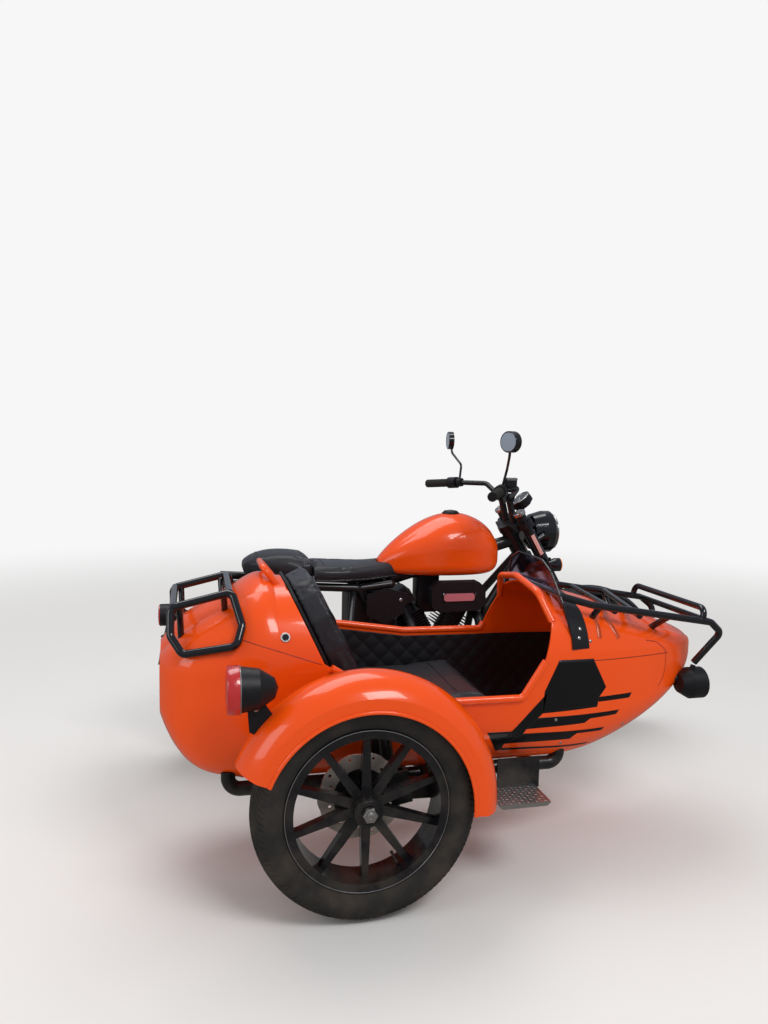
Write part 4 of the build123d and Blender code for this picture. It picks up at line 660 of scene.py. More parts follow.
badge_paint = finish_of("plain_plate", (0.62, 0.22, 0.27), 0.30, metallic=0.35, coat=0.5,
                        dust=0.12, grain=(420.0, 0.8))[0]
badge = slab((592, -161.9, 628), (0, -1, 0), (0, 0, 1), rounded(64, 15.5, 12), 1.4)
trim("air_box_plate", [badge], badge_paint, "chassis", "bare_steel")

# The silencer ends in a stepped black cap with a bright lip round its outlet
BACK_END = np.array([-115.6, -172.0, 208.0])
OUTLET = np.array([-1.0, 0.0, -0.07])
pipe_end = [turned(BACK_END, OUTLET, [(-1.0, 0), (-1.0, 37), (1.5, 37), (2.5, 35.5), (2.5, 24),
                                      (1.2, 23), (1.2, 0)], 60)]
trim("silencer_cap", pipe_end, engine_black, "chassis", "engine_black")
lip = [turned(BACK_END, OUTLET, [(1.0, 19), (8, 19.5), (10, 18.4), (10, 16.6), (8, 16), (3, 15.5),
                                 (3, 0), (1.0, 0)], 48)]
trim("silencer_outlet", lip, bare_steel, "chassis", "bare_steel")

# Tank, side covers and seats
# The tank is pressed steel in glossy orange enamel, left plain. The seats are foam pads in a
# grained black vinyl cover, sewn with a piped seam round the sides and across the top.
orange_paint = finish_of("orange_enamel", (0.84, 0.078, 0.003), 0.25, coat=0.6, specular=0.25,
                         dust=0.08, dust_height=0.45, mottle=0.08, grain=(220.0, 0.5))[0]
dress(orange_paint, "fuel_tank", "sidecar_tail", "sidecar_tub", "sidecar_nose", "cockpit_rim",
      "grab_handle", "sidecar_fender")
FILLER_X = 600
filler = [turned((FILLER_X, 0, 949.6), (0, 0, 1),
                 [(-6, 0), (-6, 36), (0.6, 36), (2.0, 34.6), (2.0, 31), (3.0, 30.6), (6.5, 29.5),
                  (9, 25), (10.2, 14), (10.5, 0)], 60)]
trim("filler_cap", filler, black_metal, "chassis", "black_paint")
lock_face = [turned((FILLER_X, 0, 960.0), (0, 0, 1),
                    [(-1, 0), (-1, 9), (1.2, 9), (1.8, 8), (1.8, 0)], 30)]
trim("filler_lock", lock_face, bare_steel, "chassis", "bare_steel")


def padded_copy(node, inset, voxel):
    """Slightly smaller copy of a soft solid, remeshed in even quads for its cloth."""
    piece = bpy.data.objects.new(node + "_pad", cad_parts[node].data.copy())
    bpy.context.scene.collection.objects.link(piece)
    work = bmesh.new()
    work.from_mesh(piece.data)
    bmesh.ops.remove_doubles(work, verts=work.verts, dist=1e-5)
    work.to_mesh(piece.data)
    work.free()
    piece.data.materials.clear()
    spots = read_rows(piece.data.vertices)
    low, high = spots.min(axis=0), spots.max(axis=0)
    middle = (low + high) / 2
    spots = middle + (spots - middle) * (1 - 2 * inset / (high - low))
    piece.data.vertices.foreach_set("co", spots.ravel())
    even = piece.modifiers.new("even", "REMESH")
    even.mode, even.voxel_size = "VOXEL", voxel
    return baked(piece)


def filled(piece, most, held=-0.55):
    """Blows a pad up as cloth round its filling. No point moves further than the cap, and the
    points of its flat underside stay put."""
    before = read_rows(piece.data.vertices)
    faced = read_rows(piece.data.vertices, "normal")
    cover = piece.modifiers.new("cover", "CLOTH")
    cover.settings.use_pressure = True
    cover.settings.uniform_pressure_force = 4.0
    cover.settings.effector_weights.gravity = 0.0
    cover.settings.quality = 4
    cover.point_cache.frame_start, cover.point_cache.frame_end = 1, 20
    for step in range(1, 21):
        bpy.context.scene.frame_set(step)
    baked(piece)
    move = read_rows(piece.data.vertices) - before
    length = np.linalg.norm(move, axis=1, keepdims=True)
    move = move * np.minimum(1.0, most / np.maximum(length, 1e-9))
    move[faced[:, 2] < held] = 0.0
    piece.data.vertices.foreach_set("co", (before + move).ravel())
    piece.data.update()
    bpy.context.scene.frame_set(1)
    return piece


# Vinyl: a fine leather grain in two sizes, with soft wide wrinkles where people sit
vinyl, _, _, vinyl_relief = finish_of(
    "black_vinyl", (0.006, 0.006, 0.010), 0.36, coat=0.20, specular=0.45, dust=0.01, mottle=0.08,
    grain=(650.0, 0.8), bump=0.0004)
vinyl_tree = vinyl.node_tree
vinyl_place = put(vinyl_tree, "TexCoord").outputs["Object"]
pores = put(vinyl_tree, "TexVoronoi", {"feature": "DISTANCE_TO_EDGE"}, Vector=vinyl_place,
            Scale=420.0)
wrinkle = put(vinyl_tree, "TexNoise", Vector=vinyl_place, Scale=17.0, Detail=3.0)
grained = math_node(vinyl_tree, "ADD", math_node(vinyl_tree, "MULTIPLY", wrinkle.outputs[0], 2.2),
                    ramp(vinyl_tree, pores.outputs[0], 0.0, 0.25))
vinyl_tree.links.new(grained, vinyl_relief.inputs["Height"])

PADS = {   # node: (body, inset, voxel, cap on the move, filling)
    "rider_seat": ("chassis", 0.003, 0.0055, 0.007, 0.7),
    "pillion_seat": ("chassis", 0.003, 0.0055, 0.007, 0.7),
    "sidecar_seat": ("chassis", 0.004, 0.007, 0.010, 0.6),
    "backrest_cushion": ("backrest", 0.003, 0.006, 0.008, 0.6),
}
pads = {}
for node, (body, inset, voxel, most, filling) in PADS.items():
    pad = filled(padded_copy(node, inset, voxel), most)
    pad.data.polygons.foreach_set("use_smooth", np.full(len(pad.data.polygons), True))
    finer = pad.modifiers.new("finer", "SUBSURF")
    finer.levels = finer.render_levels = 1
    fitted(pad, vinyl, body, "black_vinyl", node)
    pads[node] = pad


def smooth_line(points, count):
    """Line through the points whose slope at each is half the step between its neighbours."""
    p = np.asarray(points, float)
    p = np.concatenate([[2 * p[0] - p[1]], p, [2 * p[-1] - p[-2]]])
    u = np.linspace(0, len(p) - 3 - 1e-9, count)
    i = u.astype(int)
    f = (u - i)[:, None]
    a, b, c, d = p[i], p[i + 1], p[i + 2], p[i + 3]
    return 0.5 * (2 * b + (c - a) * f + (2 * a - 5 * b + 4 * c - d) * f ** 2
                  + (3 * b - 3 * c + d - a) * f ** 3)


def beaded(path, thin, around=10, closed=False):
    """Round bead: circles square to a line's run, carried along it."""
    path = np.asarray(path, float)
    ahead_step = np.roll(path, -1, axis=0) - np.roll(path, 1, axis=0)
    if not closed:
        ahead_step[0], ahead_step[-1] = path[1] - path[0], path[-1] - path[-2]
    ahead_step /= np.linalg.norm(ahead_step, axis=1, keepdims=True)
    side = np.cross(ahead_step, [0.31, 0.17, 0.93])
    side /= np.linalg.norm(side, axis=1, keepdims=True)
    other = np.cross(ahead_step, side)
    turn = np.arange(around) * (2 * math.pi / around)
    rings = path[:, None] + thin * (np.cos(turn)[None, :, None] * side[:, None]
                                    + np.sin(turn)[None, :, None] * other[:, None])
    if closed:
        return rings.reshape(-1, 3), grid_quads(len(path), around, True, True)
    return lofted(rings)


def pad_section(node, along, station, turns, lift=0.0):
    """Points on a pad where a plane cuts it at a station along one axis, by their turn round the
    section's middle: 0 points to the vehicle's left, a quarter turn is up or forward."""
    skin = (read_rows(pads[node].data.vertices) - rows_at([0, 0, 0])) * 1000
    near = skin[np.abs(skin[:, along] - station) < 6.5]
    u, v = (1, 2) if along == 0 else (1, 0)
    middle_u = (near[:, u].min() + near[:, u].max()) / 2
    middle_v = (near[:, v].min() + near[:, v].max()) / 2
    turn = np.arctan2(near[:, v] - middle_v, near[:, u] - middle_u)
    radius = np.hypot(near[:, u] - middle_u, near[:, v] - middle_v)
    order = np.argsort(turn)
    turn, radius = turn[order], radius[order]
    turn = np.concatenate([turn - 2 * math.pi, turn, turn + 2 * math.pi])
    radius = np.concatenate([radius] * 3)
    reach = np.interp(turns, turn, radius) + lift
    reach = np.convolve(np.pad(reach, 2, mode="edge"), np.full(5, 0.2), mode="valid")
    points = np.empty((len(turns), 3))
    points[:, along] = station
    points[:, u] = middle_u + reach * np.cos(turns)
    points[:, v] = middle_v + reach * np.sin(turns)
    return points


piping = finish_of("vinyl_piping", (0.009, 0.009, 0.014), 0.34, specular=0.55, dust=0.05,
                   grain=(900.0, 0.6))[0]
over = np.linspace(math.radians(8), math.radians(172), 90)
seams = [beaded(pad_section("rider_seat", 0, x, over, 0.3), 1.5) for x in (28, 62)]
trim("rider_seat_seams", seams, piping, "chassis", "black_vinyl")
seams = [beaded(pad_section("pillion_seat", 0, x, over, 0.3), 1.5) for x in (-24, -196)]
trim("pillion_seat_seams", seams, piping, "chassis", "black_vinyl")


def on_skin(node, point):
    """Nearest place on a CAD node's skin, in millimetres, and the way the skin faces there."""
    _, place, normal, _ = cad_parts[node].closest_point_on_mesh(Vector(rows_at(point)))
    return (np.array(place) - rows_at([0, 0, 0])) * 1000, np.array(normal)


# Four cap screws hold the side cover and the air box, and two show on the head
case_screws = []
for node, spot in (("side_covers", (362, -140, 616)), ("side_covers", (347, -140, 536)),
                   ("air_cleaner", (520, -170, 640)), ("air_cleaner", (664, -170, 640)),
                   ("engine", (608, -190, 707)), ("engine", (690, -190, 642))):
    place, facing = on_skin(node, spot)
    case_screws.append(round_head(place, facing, 7.0, 3.2))
trim("case_screws", case_screws, bare_steel, "chassis", "bare_steel")

# Handlebar, controls and lamps
# Ribbed rubber grips, a brake reservoir with a grey cap, oval mirrors, a round instrument, and a
# gloss black headlight bucket with a thin bright ring. The signals have amber lenses.
gloss_black = finish_of("gloss_black", (0.004, 0.004, 0.006), 0.14, coat=0.6, specular=0.4,
                        dust=0.06)[0]
dress(gloss_black, "headlight", "mirrors", "front_rack", "rear_rack")
BAR_TIP, BAR_KNEE = np.array([622.0, 402.0, 1046.0]), np.array([716.0, 262.0, 1060.0])
GRIP_R, GRIP_LENGTH = 17.0, 122.0
ribs = []
for side in (-1, 1):
    flip = np.array([1, side, 1])
    tip, axis = BAR_TIP * flip, (BAR_KNEE - BAR_TIP) * flip
    axis = axis / np.linalg.norm(axis)
    along = np.linspace(0.0, GRIP_LENGTH - 6, 400)
    swell = GRIP_R + 0.5 + 0.9 * (0.5 + 0.5 * np.cos(along * 2 * math.pi / 6.5))
    profile = np.concatenate([[(-0.2, GRIP_R - 0.5)], np.stack([along, swell], 1),
                              [(GRIP_LENGTH - 5, GRIP_R + 3.2), (GRIP_LENGTH - 1, GRIP_R + 3.2),
                               (GRIP_LENGTH - 0.5, GRIP_R - 0.5), (-0.2, GRIP_R - 0.5)]])
    ribs.append(turned(tip, axis, profile, 40))
trim("grip_ribs", ribs, rubber, "steering", "tyre_rubber")

grey_cap = finish_of("grey_cap", (0.20, 0.20, 0.21), 0.40, metallic=0.6, dust=0.1)[0]
RESERVOIR = (758.2, -245.8, 1104.2)
lid = [turned(RESERVOIR, (0, 0, 1), [(-5, 24.1), (-5, 25.2), (2.2, 25.2), (3.4, 24), (3.4, 0),
                                     (0.1, 0), (0.1, 24.1), (-5, 24.1)], 48)]
lid += [round_head((RESERVOIR[0] + x, RESERVOIR[1], RESERVOIR[2] + 3.4), (0, 0, 1), 3.2, 1.8)
        for x in (-16, 16)]
trim("reservoir_lid", lid, grey_cap, "steering", "cast_aluminium")

mirror_glass = finish_of("mirror_glass", (0.80, 0.84, 0.88), 0.03, metallic=1.0, dust=0.03,
                         mottle=0.02)[0]
MIRROR_WIDE, MIRROR_HIGH = 56, 40      # half sizes of a mirror's head
glasses, mirror_rims = [], []
for side in (-1, 1):
    face_out = np.array([-1.0, 0.18 * side, 0.0])
    face_out = face_out / np.linalg.norm(face_out)
    middle = np.array([708.0, 352.0 * side, 1246.0]) + 10.9 * face_out
    wide = np.cross([0, 0, 1.0], face_out)
    turn = np.arange(96) * (2 * math.pi / 96)
    oval = np.stack([np.cos(turn), np.sin(turn)], axis=1)
    place = on_skin("mirrors", middle + 20 * face_out)[0]
    glasses.append(slab(place - 0.1 * face_out, face_out, (0, 0, 1),
                        oval * [MIRROR_WIDE - 5, MIRROR_HIGH - 5], 0.9))
    ring = (place + oval[:, :1] * (MIRROR_WIDE - 4) * wide
            + oval[:, 1:] * (MIRROR_HIGH - 4) * np.array([0, 0, 1.0]))
    mirror_rims.append(beaded(ring, 1.8, 8, closed=True))
trim("mirror_glasses", glasses, mirror_glass, "steering", "bare_steel")
trim("mirror_rims", mirror_rims, gloss_black, "steering", "gloss_black_plastic")

GAUGE, GAUGE_AXIS = np.array([905.0, 0, 1010.0]), np.array([-0.62, 0, 0.78])
GAUGE_AXIS = GAUGE_AXIS / np.linalg.norm(GAUGE_AXIS)
bezel = [hoop(GAUGE + 0.5 * GAUGE_AXIS, GAUGE_AXIS, 42.2, 2.4, 72, 10)]
trim("gauge_bezel", bezel, bare_steel, "steering", "bare_steel")
face_paint = finish_of("gauge_face", (0.012, 0.013, 0.016), 0.20, coat=1.0, dust=0.02)[0]
face = [turned(GAUGE, GAUGE_AXIS, [(-0.4, 0), (-0.4, 40.5), (0.5, 40.5), (0.5, 0)], 60)]
trim("gauge_face", face, face_paint, "steering", "gloss_black_plastic")
tick_paint = finish_of("gauge_marks", (0.70, 0.70, 0.68), 0.5, dust=0.02)[0]
_, gauge_side, gauge_up = square_to(GAUGE_AXIS)
marks = []
for number in range(21):
    a = math.radians(-130 + 13 * number) + math.pi / 2
    way = math.cos(a) * gauge_side + math.sin(a) * gauge_up
    length = 3.4 if number % 5 else 5.5
    marks.append(slab(GAUGE + 34 * way + 0.4 * GAUGE_AXIS, GAUGE_AXIS, way,
                      rounded(0.6, length, 0.4, 12), 0.4, 0.1))
pointing = math.cos(2.4) * gauge_side + math.sin(2.4) * gauge_up
marks.append(slab(GAUGE + 13 * pointing + 0.4 * GAUGE_AXIS, GAUGE_AXIS, pointing,
                  rounded(1.0, 17, 0.8, 16), 0.7, 0.2))
trim("gauge_marks", marks, tick_paint, "steering", "bare_steel")

HEADLIGHT = np.array([985.0, 0.0, 868.0])
ring = [hoop(HEADLIGHT + [68.5, 0, 0], (1, 0, 0), 72.2, 3.6, 96, 12)]
trim("headlight_ring", ring, bare_steel, "steering", "bare_steel")
lens_glass, _, _, lens_relief = finish_of("lens_glass", (0.60, 0.63, 0.66), 0.10, metallic=0.7,
                                          coat=1.0, dust=0.04)
banded(lens_glass, lens_relief, "Y", 30.0, 0.0008)
lens = [turned(HEADLIGHT, (1, 0, 0),
               [(66, 0), (66, 70.2), (72, 69.5), (77.5, 54), (81.5, 30), (83, 0)], 72)]
trim("headlight_lens", lens, lens_glass, "steering", "gloss_black_plastic")

amber = finish_of("amber_lens", (0.85, 0.24, 0.01), 0.14, coat=1.0, dust=0.06,
                  grain=(260.0, 2.0), bump=0.0006)[0]
red_lens = finish_of("red_lens", (0.46, 0.010, 0.012), 0.14, coat=1.0, dust=0.12, dust_height=0.9,
                     grain=(230.0, 2.0), bump=0.0006)[0]
LENS = [(12.5, 0), (12.5, 27.6), (15.5, 27.0), (19.0, 21), (21.5, 10), (22.2, 0)]
front_signals = [turned((1000, 168 * side, 752), (1, 0, 0), LENS, 40) for side in (-1, 1)]
trim("front_signal_lenses", front_signals, amber, "steering", "gloss_black_plastic")

# Tail: lamp, signals and a bare plate
# The tail lamp is a black can with a red lens at its back. The number plate is blank, screwed
# twice. Two suspension units with black coil springs stand either side of the rear wheel.
place = on_skin("tail_lamp", (-620, 0, 560))[0]
tail_lens = [turned((place[0], 0, 560), (-1, 0, 0), [(-0.4, 0), (-0.4, 40), (3, 40), (5.5, 33),
                                                     (7, 16), (7.4, 0)], 48)]
trim("tail_lens", tail_lens, red_lens, "chassis", "gloss_black_plastic")
rear_signals = []
for side in (-1, 1):
    place = on_skin("tail_lamp", (-560, 160 * side, 520))[0]
    if abs(place[1]) > 130:
        rear_signals.append(turned((place[0], 160 * side, place[2]), (-1, 0, 0),
                                   [(-7, 0), (-7, 27.6), (-4, 27.0), (-0.6, 21), (1.8, 10),
                                    (2.4, 0)], 40))
if rear_signals:
    trim("rear_signal_lenses", rear_signals, amber, "chassis", "gloss_black_plastic")
plate_paint = finish_of("blank_plate", (0.66, 0.65, 0.60), 0.38, dust=0.30, dust_height=1.2,
                        grain=(500.0, 0.5))[0]
plate_at, plate_way = on_skin("tail_lamp", (-600, 0, 448))
blank = [slab(plate_at, plate_way, (0, 0, 1), rounded(86, 54, 8), 1.1)]
blank += [round_head(plate_at + np.array([0, y, 40]) + plate_way, plate_way, 4.5, 2.2)
          for y in (-60, 60)]
trim("blank_plate", blank, plate_paint, "chassis", "black_paint")
springs = []
for side in (-1, 1):
    low, high = np.array([-108.0, 166.0 * side, 324.5]), np.array([-30.0, 166.0 * side, 640.0])
    t = np.linspace(0.30, 0.86, 9 * 22)
    axis, one, two = square_to(high - low)
    turn = t * 2 * math.pi * 9 / 0.56
    coil = low + t[:, None] * (high - low) + 27.0 * (np.cos(turn)[:, None] * one
                                                     + np.sin(turn)[:, None] * two)
    springs.append(beaded(coil, 4.2, 8))
trim("rear_springs", springs, black_metal, "chassis", "black_paint")

# Sidecar body
# A welded steel tub, nose and tail in the same orange enamel. Dark lines are drawn along its panel
# gaps, and along its creases and two wide grooves as painted shade. A black film graphic of plain
# shapes runs back along the near side.
skin_shape = bmesh.new()
for node in ("sidecar_nose", "sidecar_tub", "sidecar_tail"):
    skin_shape.from_mesh(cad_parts[node].data)
bmesh.ops.remove_doubles(skin_shape, verts=skin_shape.verts, dist=1e-6)
skin_mesh = bpy.data.meshes.new("body_skin")
skin_shape.to_mesh(skin_mesh)
skin_shape.free()
body_skin = bpy.data.objects.new("body_skin", skin_mesh)
bpy.context.scene.collection.objects.link(body_skin)


def paces(line):
    """How far along a line each of its corners lies, from 0 to 1."""
    run = np.concatenate([[0.0], np.cumsum(np.linalg.norm(np.diff(line, axis=0), axis=1))])
    return run / run[-1]


def ruled(upper, lower, columns, rows):
    """Grid of points between two lines of corners, each walked at an even pace."""
    upper, lower = np.asarray(upper, float), np.asarray(lower, float)
    t = np.unique(np.round(np.concatenate([np.linspace(0, 1, columns), paces(upper),
                                           paces(lower)]), 5))
    a, b = (np.stack([np.interp(t, paces(line), line[:, k]) for k in range(line.shape[1])], 1)
            for line in (upper, lower))
    share = np.linspace(0, 1, rows)[:, None, None]
    return a * (1 - share) + b * share


def pressed(name, grid, target, axis, way, lift, thick):
    """Lays a grid of points on a target, straight along one axis the given way, lifts it by a
    hair and gives it a thickness outwards."""
    rows, columns = grid.shape[:2]
    piece = mesh_piece(name, rows_at(grid.reshape(-1, 3)), grid_quads(rows, columns))
    press = piece.modifiers.new("pressed", "SHRINKWRAP")
    press.target, press.wrap_method = target, "PROJECT"
    press.use_project_x, press.use_project_y, press.use_project_z = (axis == k for k in "XYZ")
    press.use_positive_direction, press.use_negative_direction = way > 0, way < 0
    press.offset = lift / 1000
    baked(piece)
    facing = read_rows(piece.data.polygons, "normal")
    if facing[:, "XYZ".index(axis)].mean() * way > 0:
        piece.data.flip_normals()
    film = piece.modifiers.new("film", "SOLIDIFY")
    film.thickness, film.offset = thick / 1000, 1.0
    piece.data.polygons.foreach_set("use_smooth", np.full(len(piece.data.polygons), True))
    return piece


NEAR_SIDE = -1080.0


def side_grid(upper, lower, columns, rows):
    """Grid of points between two lines of (x, z) corners, set out beside the sidecar."""
    flat = ruled(upper, lower, columns, rows)
    return np.stack([flat[..., 0], np.full(flat.shape[:2], NEAR_SIDE), flat[..., 1]], axis=-1)


FILM = [   # upper and lower edges of each black shape, (x, z)
    ([(569, 518), (613, 611), (727, 608), (777, 516)],
     [(569, 518), (566, 453), (747, 458), (754, 488), (777, 516)]),
    ([(754, 488), (877, 487)], [(752, 473), (868, 472)]),
    ([(577, 513), (470, 404), (452, 364)],
     [(577, 513), (566, 453), (551, 440), (516, 408), (507, 394), (452, 364)]),
    ([(551, 440), (831, 439)], [(516, 408), (706, 412), (725, 424), (820, 426)]),
    ([(507, 394), (784, 387)], [(452, 364), (665, 362), (683, 379), (775, 377)]),
    ([(394, 406), (470, 404)], [(430, 339), (445, 341), (452, 364)]),
    ([(445, 348), (746, 334)], [(450, 340), (734, 328)]),
]
film_black = finish_of("film_black", (0.003, 0.003, 0.004), 0.34, coat=0.2, specular=0.3,
                       dust=0.06)[0]
for number, (upper, lower) in enumerate(FILM):
    shape = pressed("film_%d" % (number + 1), side_grid(upper, lower, 40, 14), body_skin, "Y", 1,
                    0.3, 0.3)
    fitted(shape, film_black, "chassis", "gloss_black_plastic")

# Dark red lines: the dark joint along panel gaps, and painted shade along the creases
gap_and_crease_shade = finish_of("gap_and_crease_shade", (0.22, 0.014, 0.002), 0.4, dust=0.06)[0]
# Darker orange for the two wide grooves across the cowl: painted shade in their hollows
groove_painted_shade = finish_of("groove_painted_shade", (0.50, 0.055, 0.003), 0.35, coat=0.5, dust=0.04)[0]
SIDE_LINES = [   # dark lines on the near side, painted shade on creases and grooves, dark joints on gaps: width, then (x, z) corners
    (2.2, [(621, 602), (750, 601), (904, 597), (1030, 592)]),
    (2.0, [(933, 642), (975, 632), (991, 621), (1012, 605), (1019, 590), (1019, 549), (1008, 512),
           (990, 489)]),
    # the two wide grooves across the cowl, drawn in the painted groove shade
    (15.0, [(754, 724), (757, 700), (753, 664)]),
    (15.0, [(799, 718), (812, 690), (824, 658)]),
    (2.0, [(-304, 704), (-207, 672), (-95, 633)]),
]
for number, (wide, line) in enumerate(SIDE_LINES):
    path = smooth_line(line, 60)
    step = np.gradient(path, axis=0)
    out = np.stack([-step[:, 1], step[:, 0]], 1) / np.linalg.norm(step, axis=1, keepdims=True)
    grid = side_grid(path + out * wide / 2, path - out * wide / 2, 60, 3)
    crease = pressed("side_crease_%d" % (number + 1), grid, body_skin, "Y", 1, 0.2, 0.2)
    # Narrow lines take the gap and crease shade, the wide grooves their painted groove shade
    fitted(crease, gap_and_crease_shade if wide < 5 else groove_painted_shade, "chassis", "orange_paint")

rivets = []
for spot in ((609, -1010, 430), (721, -1000, 665), (640, -1010, 330), (880, -1000, 350)):
    place, facing = on_skin("sidecar_nose", spot)
    rivets.append(round_head(place, facing, 5.0, 2.2))
trim("body_rivets", rivets, bare_steel, "chassis", "bare_steel")
place, facing = on_skin("sidecar_tail", (-191, -1010, 722))
lock = [turned(place, facing, [(-1.0, 0), (-1.0, 13.5), (1.6, 13.5), (2.8, 12.4), (2.8, 9.6),
                               (1.4, 9), (1.4, 2.2), (0.6, 2.0), (0.6, 0)], 40)]
trim("boot_lock", lock, bare_steel, "chassis", "bare_steel")
core = [turned(place, facing, [(0.4, 0), (0.4, 8.8), (1.7, 8.8), (1.7, 0)], 30)]
trim("boot_lock_core", core, gloss_black, "chassis", "bare_steel")

# Cockpit
# The inner walls are lined with quilted black vinyl, the floor has a ribbed rubber mat, and the
# seat and backrest have piped edges and a seam across. The black lining runs on forward inside the
# nose as painted shade, where the nose's inner walls lie in shadow.
FAR_RIM = [(-90, 636), (40, 628), (270, 594), (548, 590), (900, 590)]
NEAR_RIM = [(-90, 636), (30, 560), (120, 507), (500, 503), (545, 570), (900, 590)]
BODY_Y, FLOOR_Z, BULK_SLOPE = -755.0, 305.0, (72.0 + 206.0) / (888.0 - 300.0)
liner_vinyl_and_shade = finish_of("liner_vinyl_and_shade", (0.007, 0.007, 0.009), 0.55, specular=0.35, dust=0.05,
                        grain=(700.0, 0.8), bump=0.0003)[0]
# Ahead of the tub the lining sheets are painted shade over the nose's shadowed inner walls
QUILT, QUILT_DEEP, LINER_AND_SHADE_END = 62.0, 3.6, 860.0
for side, rim, name in ((1, FAR_RIM, "far_liner_and_shade"), (-1, NEAR_RIM, "near_liner_and_shade")):
    u, v = np.meshgrid(np.linspace(0, 1, 230), np.linspace(0, 1, 70))
    rim_x, rim_z = np.asarray(rim, float).T
    start = 72.0 - BULK_SLOPE * (FLOOR_Z + 8 + v * 300 - 300.0) + 16.0
    x = start + u * (LINER_AND_SHADE_END - start)
    top = np.interp(x, rim_x, rim_z) - 17.0
    low = FLOOR_Z + 10 + 0.16 * np.maximum(0.0, x - 600)
    z = low + v * (top - low)
    grid = np.stack([x, np.full_like(x, BODY_Y), z], axis=-1)
    liner = pressed(name, grid, body_skin, "Y", side, 2.0, 1.2)
    spots = read_rows(liner.data.vertices)
    a = (x + z).ravel() * math.pi / QUILT
    b = (x - z).ravel() * math.pi / QUILT
    puff = (np.abs(np.sin(a)) * np.abs(np.sin(b))) ** 0.55 * QUILT_DEEP / 1000
    spots[:, 1] -= side * puff
    liner.data.vertices.foreach_set("co", spots.ravel())
    fitted(liner, liner_vinyl_and_shade, "chassis", "black_vinyl")
bpy.data.objects.remove(body_skin)

mat_rubber, _, _, mat_relief = finish_of("mat_rubber", (0.010, 0.010, 0.011), 0.7, dust=0.5,
                                         dust_height=0.9)
banded(mat_rubber, mat_relief, "X", 26.0, 0.0025)
mat = slab((524, BODY_Y, FLOOR_Z + 0.3), (0, 0, 1), (1, 0, 0), rounded(190, 68, 20, 64), 4.0, 1.0)
trim("floor_mat", [mat], mat_rubber, "chassis", "tyre_rubber")

cushion_seams = [beaded(pad_section("sidecar_seat", 0, x, over, 0.4), 1.7) for x in (96, 330)]
trim("cushion_seams", cushion_seams, piping, "chassis", "black_vinyl")
back_seams = []
back_low, back_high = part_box("backrest_cushion")
levels = np.linspace(1000 * back_low[2] + 16, 1000 * back_high[2] - 14, 46)
for corner_turn in (math.radians(14), math.radians(166)):
    edge_line = np.concatenate([pad_section("backrest_cushion", 2, z, np.array([corner_turn]), 0.3)
                                for z in levels])
    back_seams.append(beaded(smooth_line(edge_line[::3], 90), 2.0))
front_turns = np.linspace(math.radians(10), math.radians(170), 60)
back_seams.append(beaded(pad_section("backrest_cushion", 2, levels[16], front_turns, 0.3), 1.6))
trim("backrest_seams", back_seams, piping, "backrest", "black_vinyl")

# Wind screen
# One sheet of smoked acrylic, bent across, with a dark beaded edge. Its foot is clamped in a
# black moulding with screws.
SCREEN_X, SCREEN_LOW, SCREEN_LEAN = 668.0, 640.0, math.radians(16)
SCREEN_HALF, SCREEN_BULGE = 236.0, 26.0
smoked = finish_of("smoked_screen", (0.68, 0.55, 0.76), 0.05, dust=0.05, mottle=0.04, bump=0.00005)
smoked[1].inputs["Transmission Weight"].default_value = 1.0
smoked[1].inputs["IOR"].default_value = 1.12
dress(smoked[0], "windscreen")
edge_yz = np.array([(236, 668), (210, 770), (150, 858), (90, 884), (-90, 884), (-150, 858),
                    (-210, 770), (-236, 668)], float)
t = np.unique(np.concatenate([np.linspace(0, 1, 150), paces(edge_yz)]))
edge_y, edge_z = (np.interp(t, paces(edge_yz), edge_yz[:, k]) for k in (0, 1))
bend = (SCREEN_HALF ** 2 + SCREEN_BULGE ** 2) / (2 * SCREEN_BULGE)
bulge = SCREEN_BULGE - (bend - np.sqrt(bend ** 2 - edge_y ** 2)) - 2.0
climb = (edge_z - SCREEN_LOW - bulge * math.sin(SCREEN_LEAN)) / math.cos(SCREEN_LEAN)
edge_x = SCREEN_X + bulge * math.cos(SCREEN_LEAN) - climb * math.sin(SCREEN_LEAN)
edge = beaded(np.stack([edge_x, BODY_Y + edge_y, edge_z], axis=1), 3.4, 10)
trim("screen_edge", [edge], gloss_black, "chassis", "gloss_black_plastic")
screws = []
for spot in ((682, -1000, 676), (694, -1000, 712), (682, -510, 676), (694, -510, 712)):
    place, facing = on_skin("screen_base", spot)
    screws.append(round_head(place, facing, 6.0, 2.6))
trim("screen_screws", screws, bare_steel, "chassis", "bare_steel")

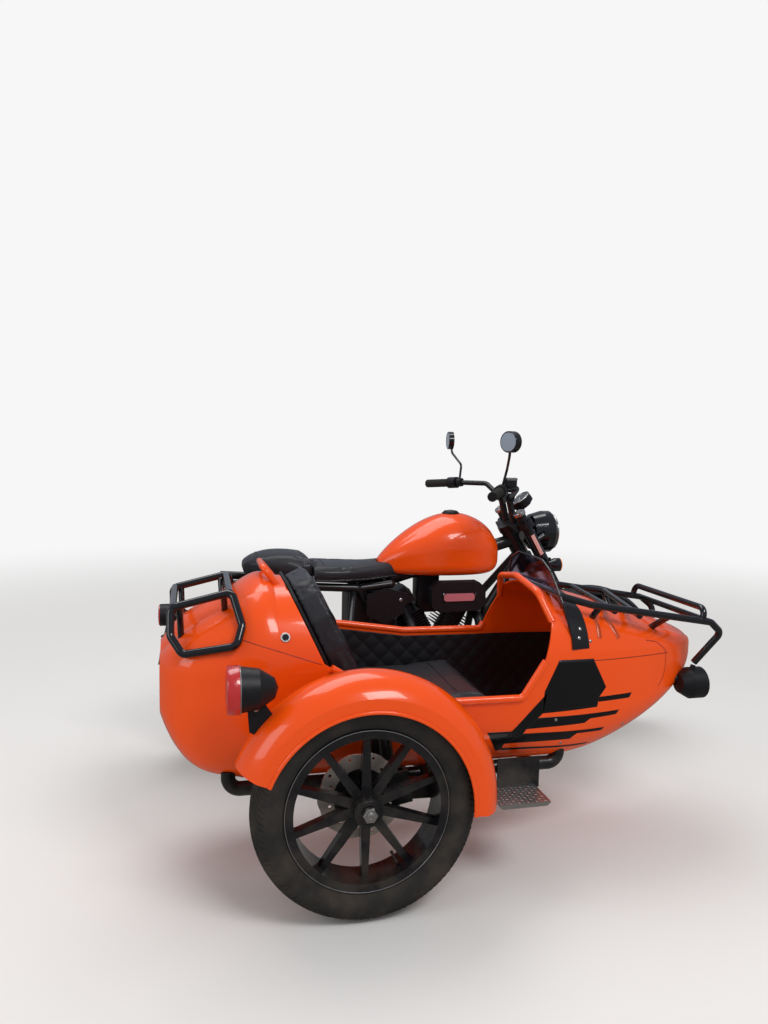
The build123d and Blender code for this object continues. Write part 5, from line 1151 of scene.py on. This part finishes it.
# Sidecar fender, its lamp and the step
# The fender carries a round lamp with a red lens at its back. The step is a chequered alloy tread
# on a black hanger below the sill.
LAMP_Y, LAMP_Z = -1162, 629
lamp_lens = [turned((-300, LAMP_Y, LAMP_Z), (-1, 0, 0),
                    [(24, 0), (24, 59.4), (27, 60.6), (50, 60.4), (55, 57.5), (58.5, 46),
                     (60, 24), (60.5, 0)], 60)]
trim("fender_lamp_lens", lamp_lens, red_lens, "chassis", "gloss_black_plastic")
lamp_ring = [hoop((-323.0, LAMP_Y, LAMP_Z), (1, 0, 0), 59.6, 1.5, 72, 8)]
lamp_ring += [round_head((x, -1165.8, z), (0, -1, 0), 7, 3.4)
              for x, z in ((-284, 578), (-264, 532))]
trim("fender_lamp_trim", lamp_ring, bare_steel, "chassis", "bare_steel")

tread_alloy = finish_of("tread_alloy", (0.58, 0.57, 0.56), 0.32, metallic=1.0, dust=0.25,
                        dust_height=0.6, grain=(380.0, 0.8))[0]
dress(tread_alloy, "step_tread")
STEP_TOP, CHECK = 255.9, 13.0
check_x, check_y = np.meshgrid(np.arange(388, 524, CHECK), np.arange(-1138, -1040, CHECK))
lean = np.where((np.arange(check_x.size) % check_x.shape[1]
                 + np.arange(check_x.size) // check_x.shape[1]) % 2, 0.25 * math.pi, 0.75 * math.pi)
long_way = np.stack([np.cos(lean), np.sin(lean)], 1)
short_way = np.stack([-np.sin(lean), np.cos(lean)], 1)
feet = np.stack([check_x.ravel(), check_y.ravel()], 1)
corners = np.stack([feet + 5.2 * long_way, feet + 1.7 * short_way, feet - 5.2 * long_way,
                    feet - 1.7 * short_way], axis=1)
tops = feet[:, None] + (corners - feet[:, None]) * 0.55
low = np.concatenate([corners, np.full((*corners.shape[:2], 1), STEP_TOP)], axis=2)
high = np.concatenate([tops, np.full((*tops.shape[:2], 1), STEP_TOP + 1.3)], axis=2)
lozenges = np.concatenate([low, high], axis=1)
block_faces = np.array([[0, 3, 2, 1], [4, 5, 6, 7], [0, 1, 5, 4], [1, 2, 6, 5], [2, 3, 7, 6],
                        [3, 0, 4, 7]])
check_faces = (block_faces[None] + 8 * np.arange(len(feet))[:, None, None]).reshape(-1, 4)
checks = joined("step_checks", [(lozenges.reshape(-1, 3), check_faces)], smooth=False)
fitted(checks, tread_alloy, "chassis", "cast_aluminium")
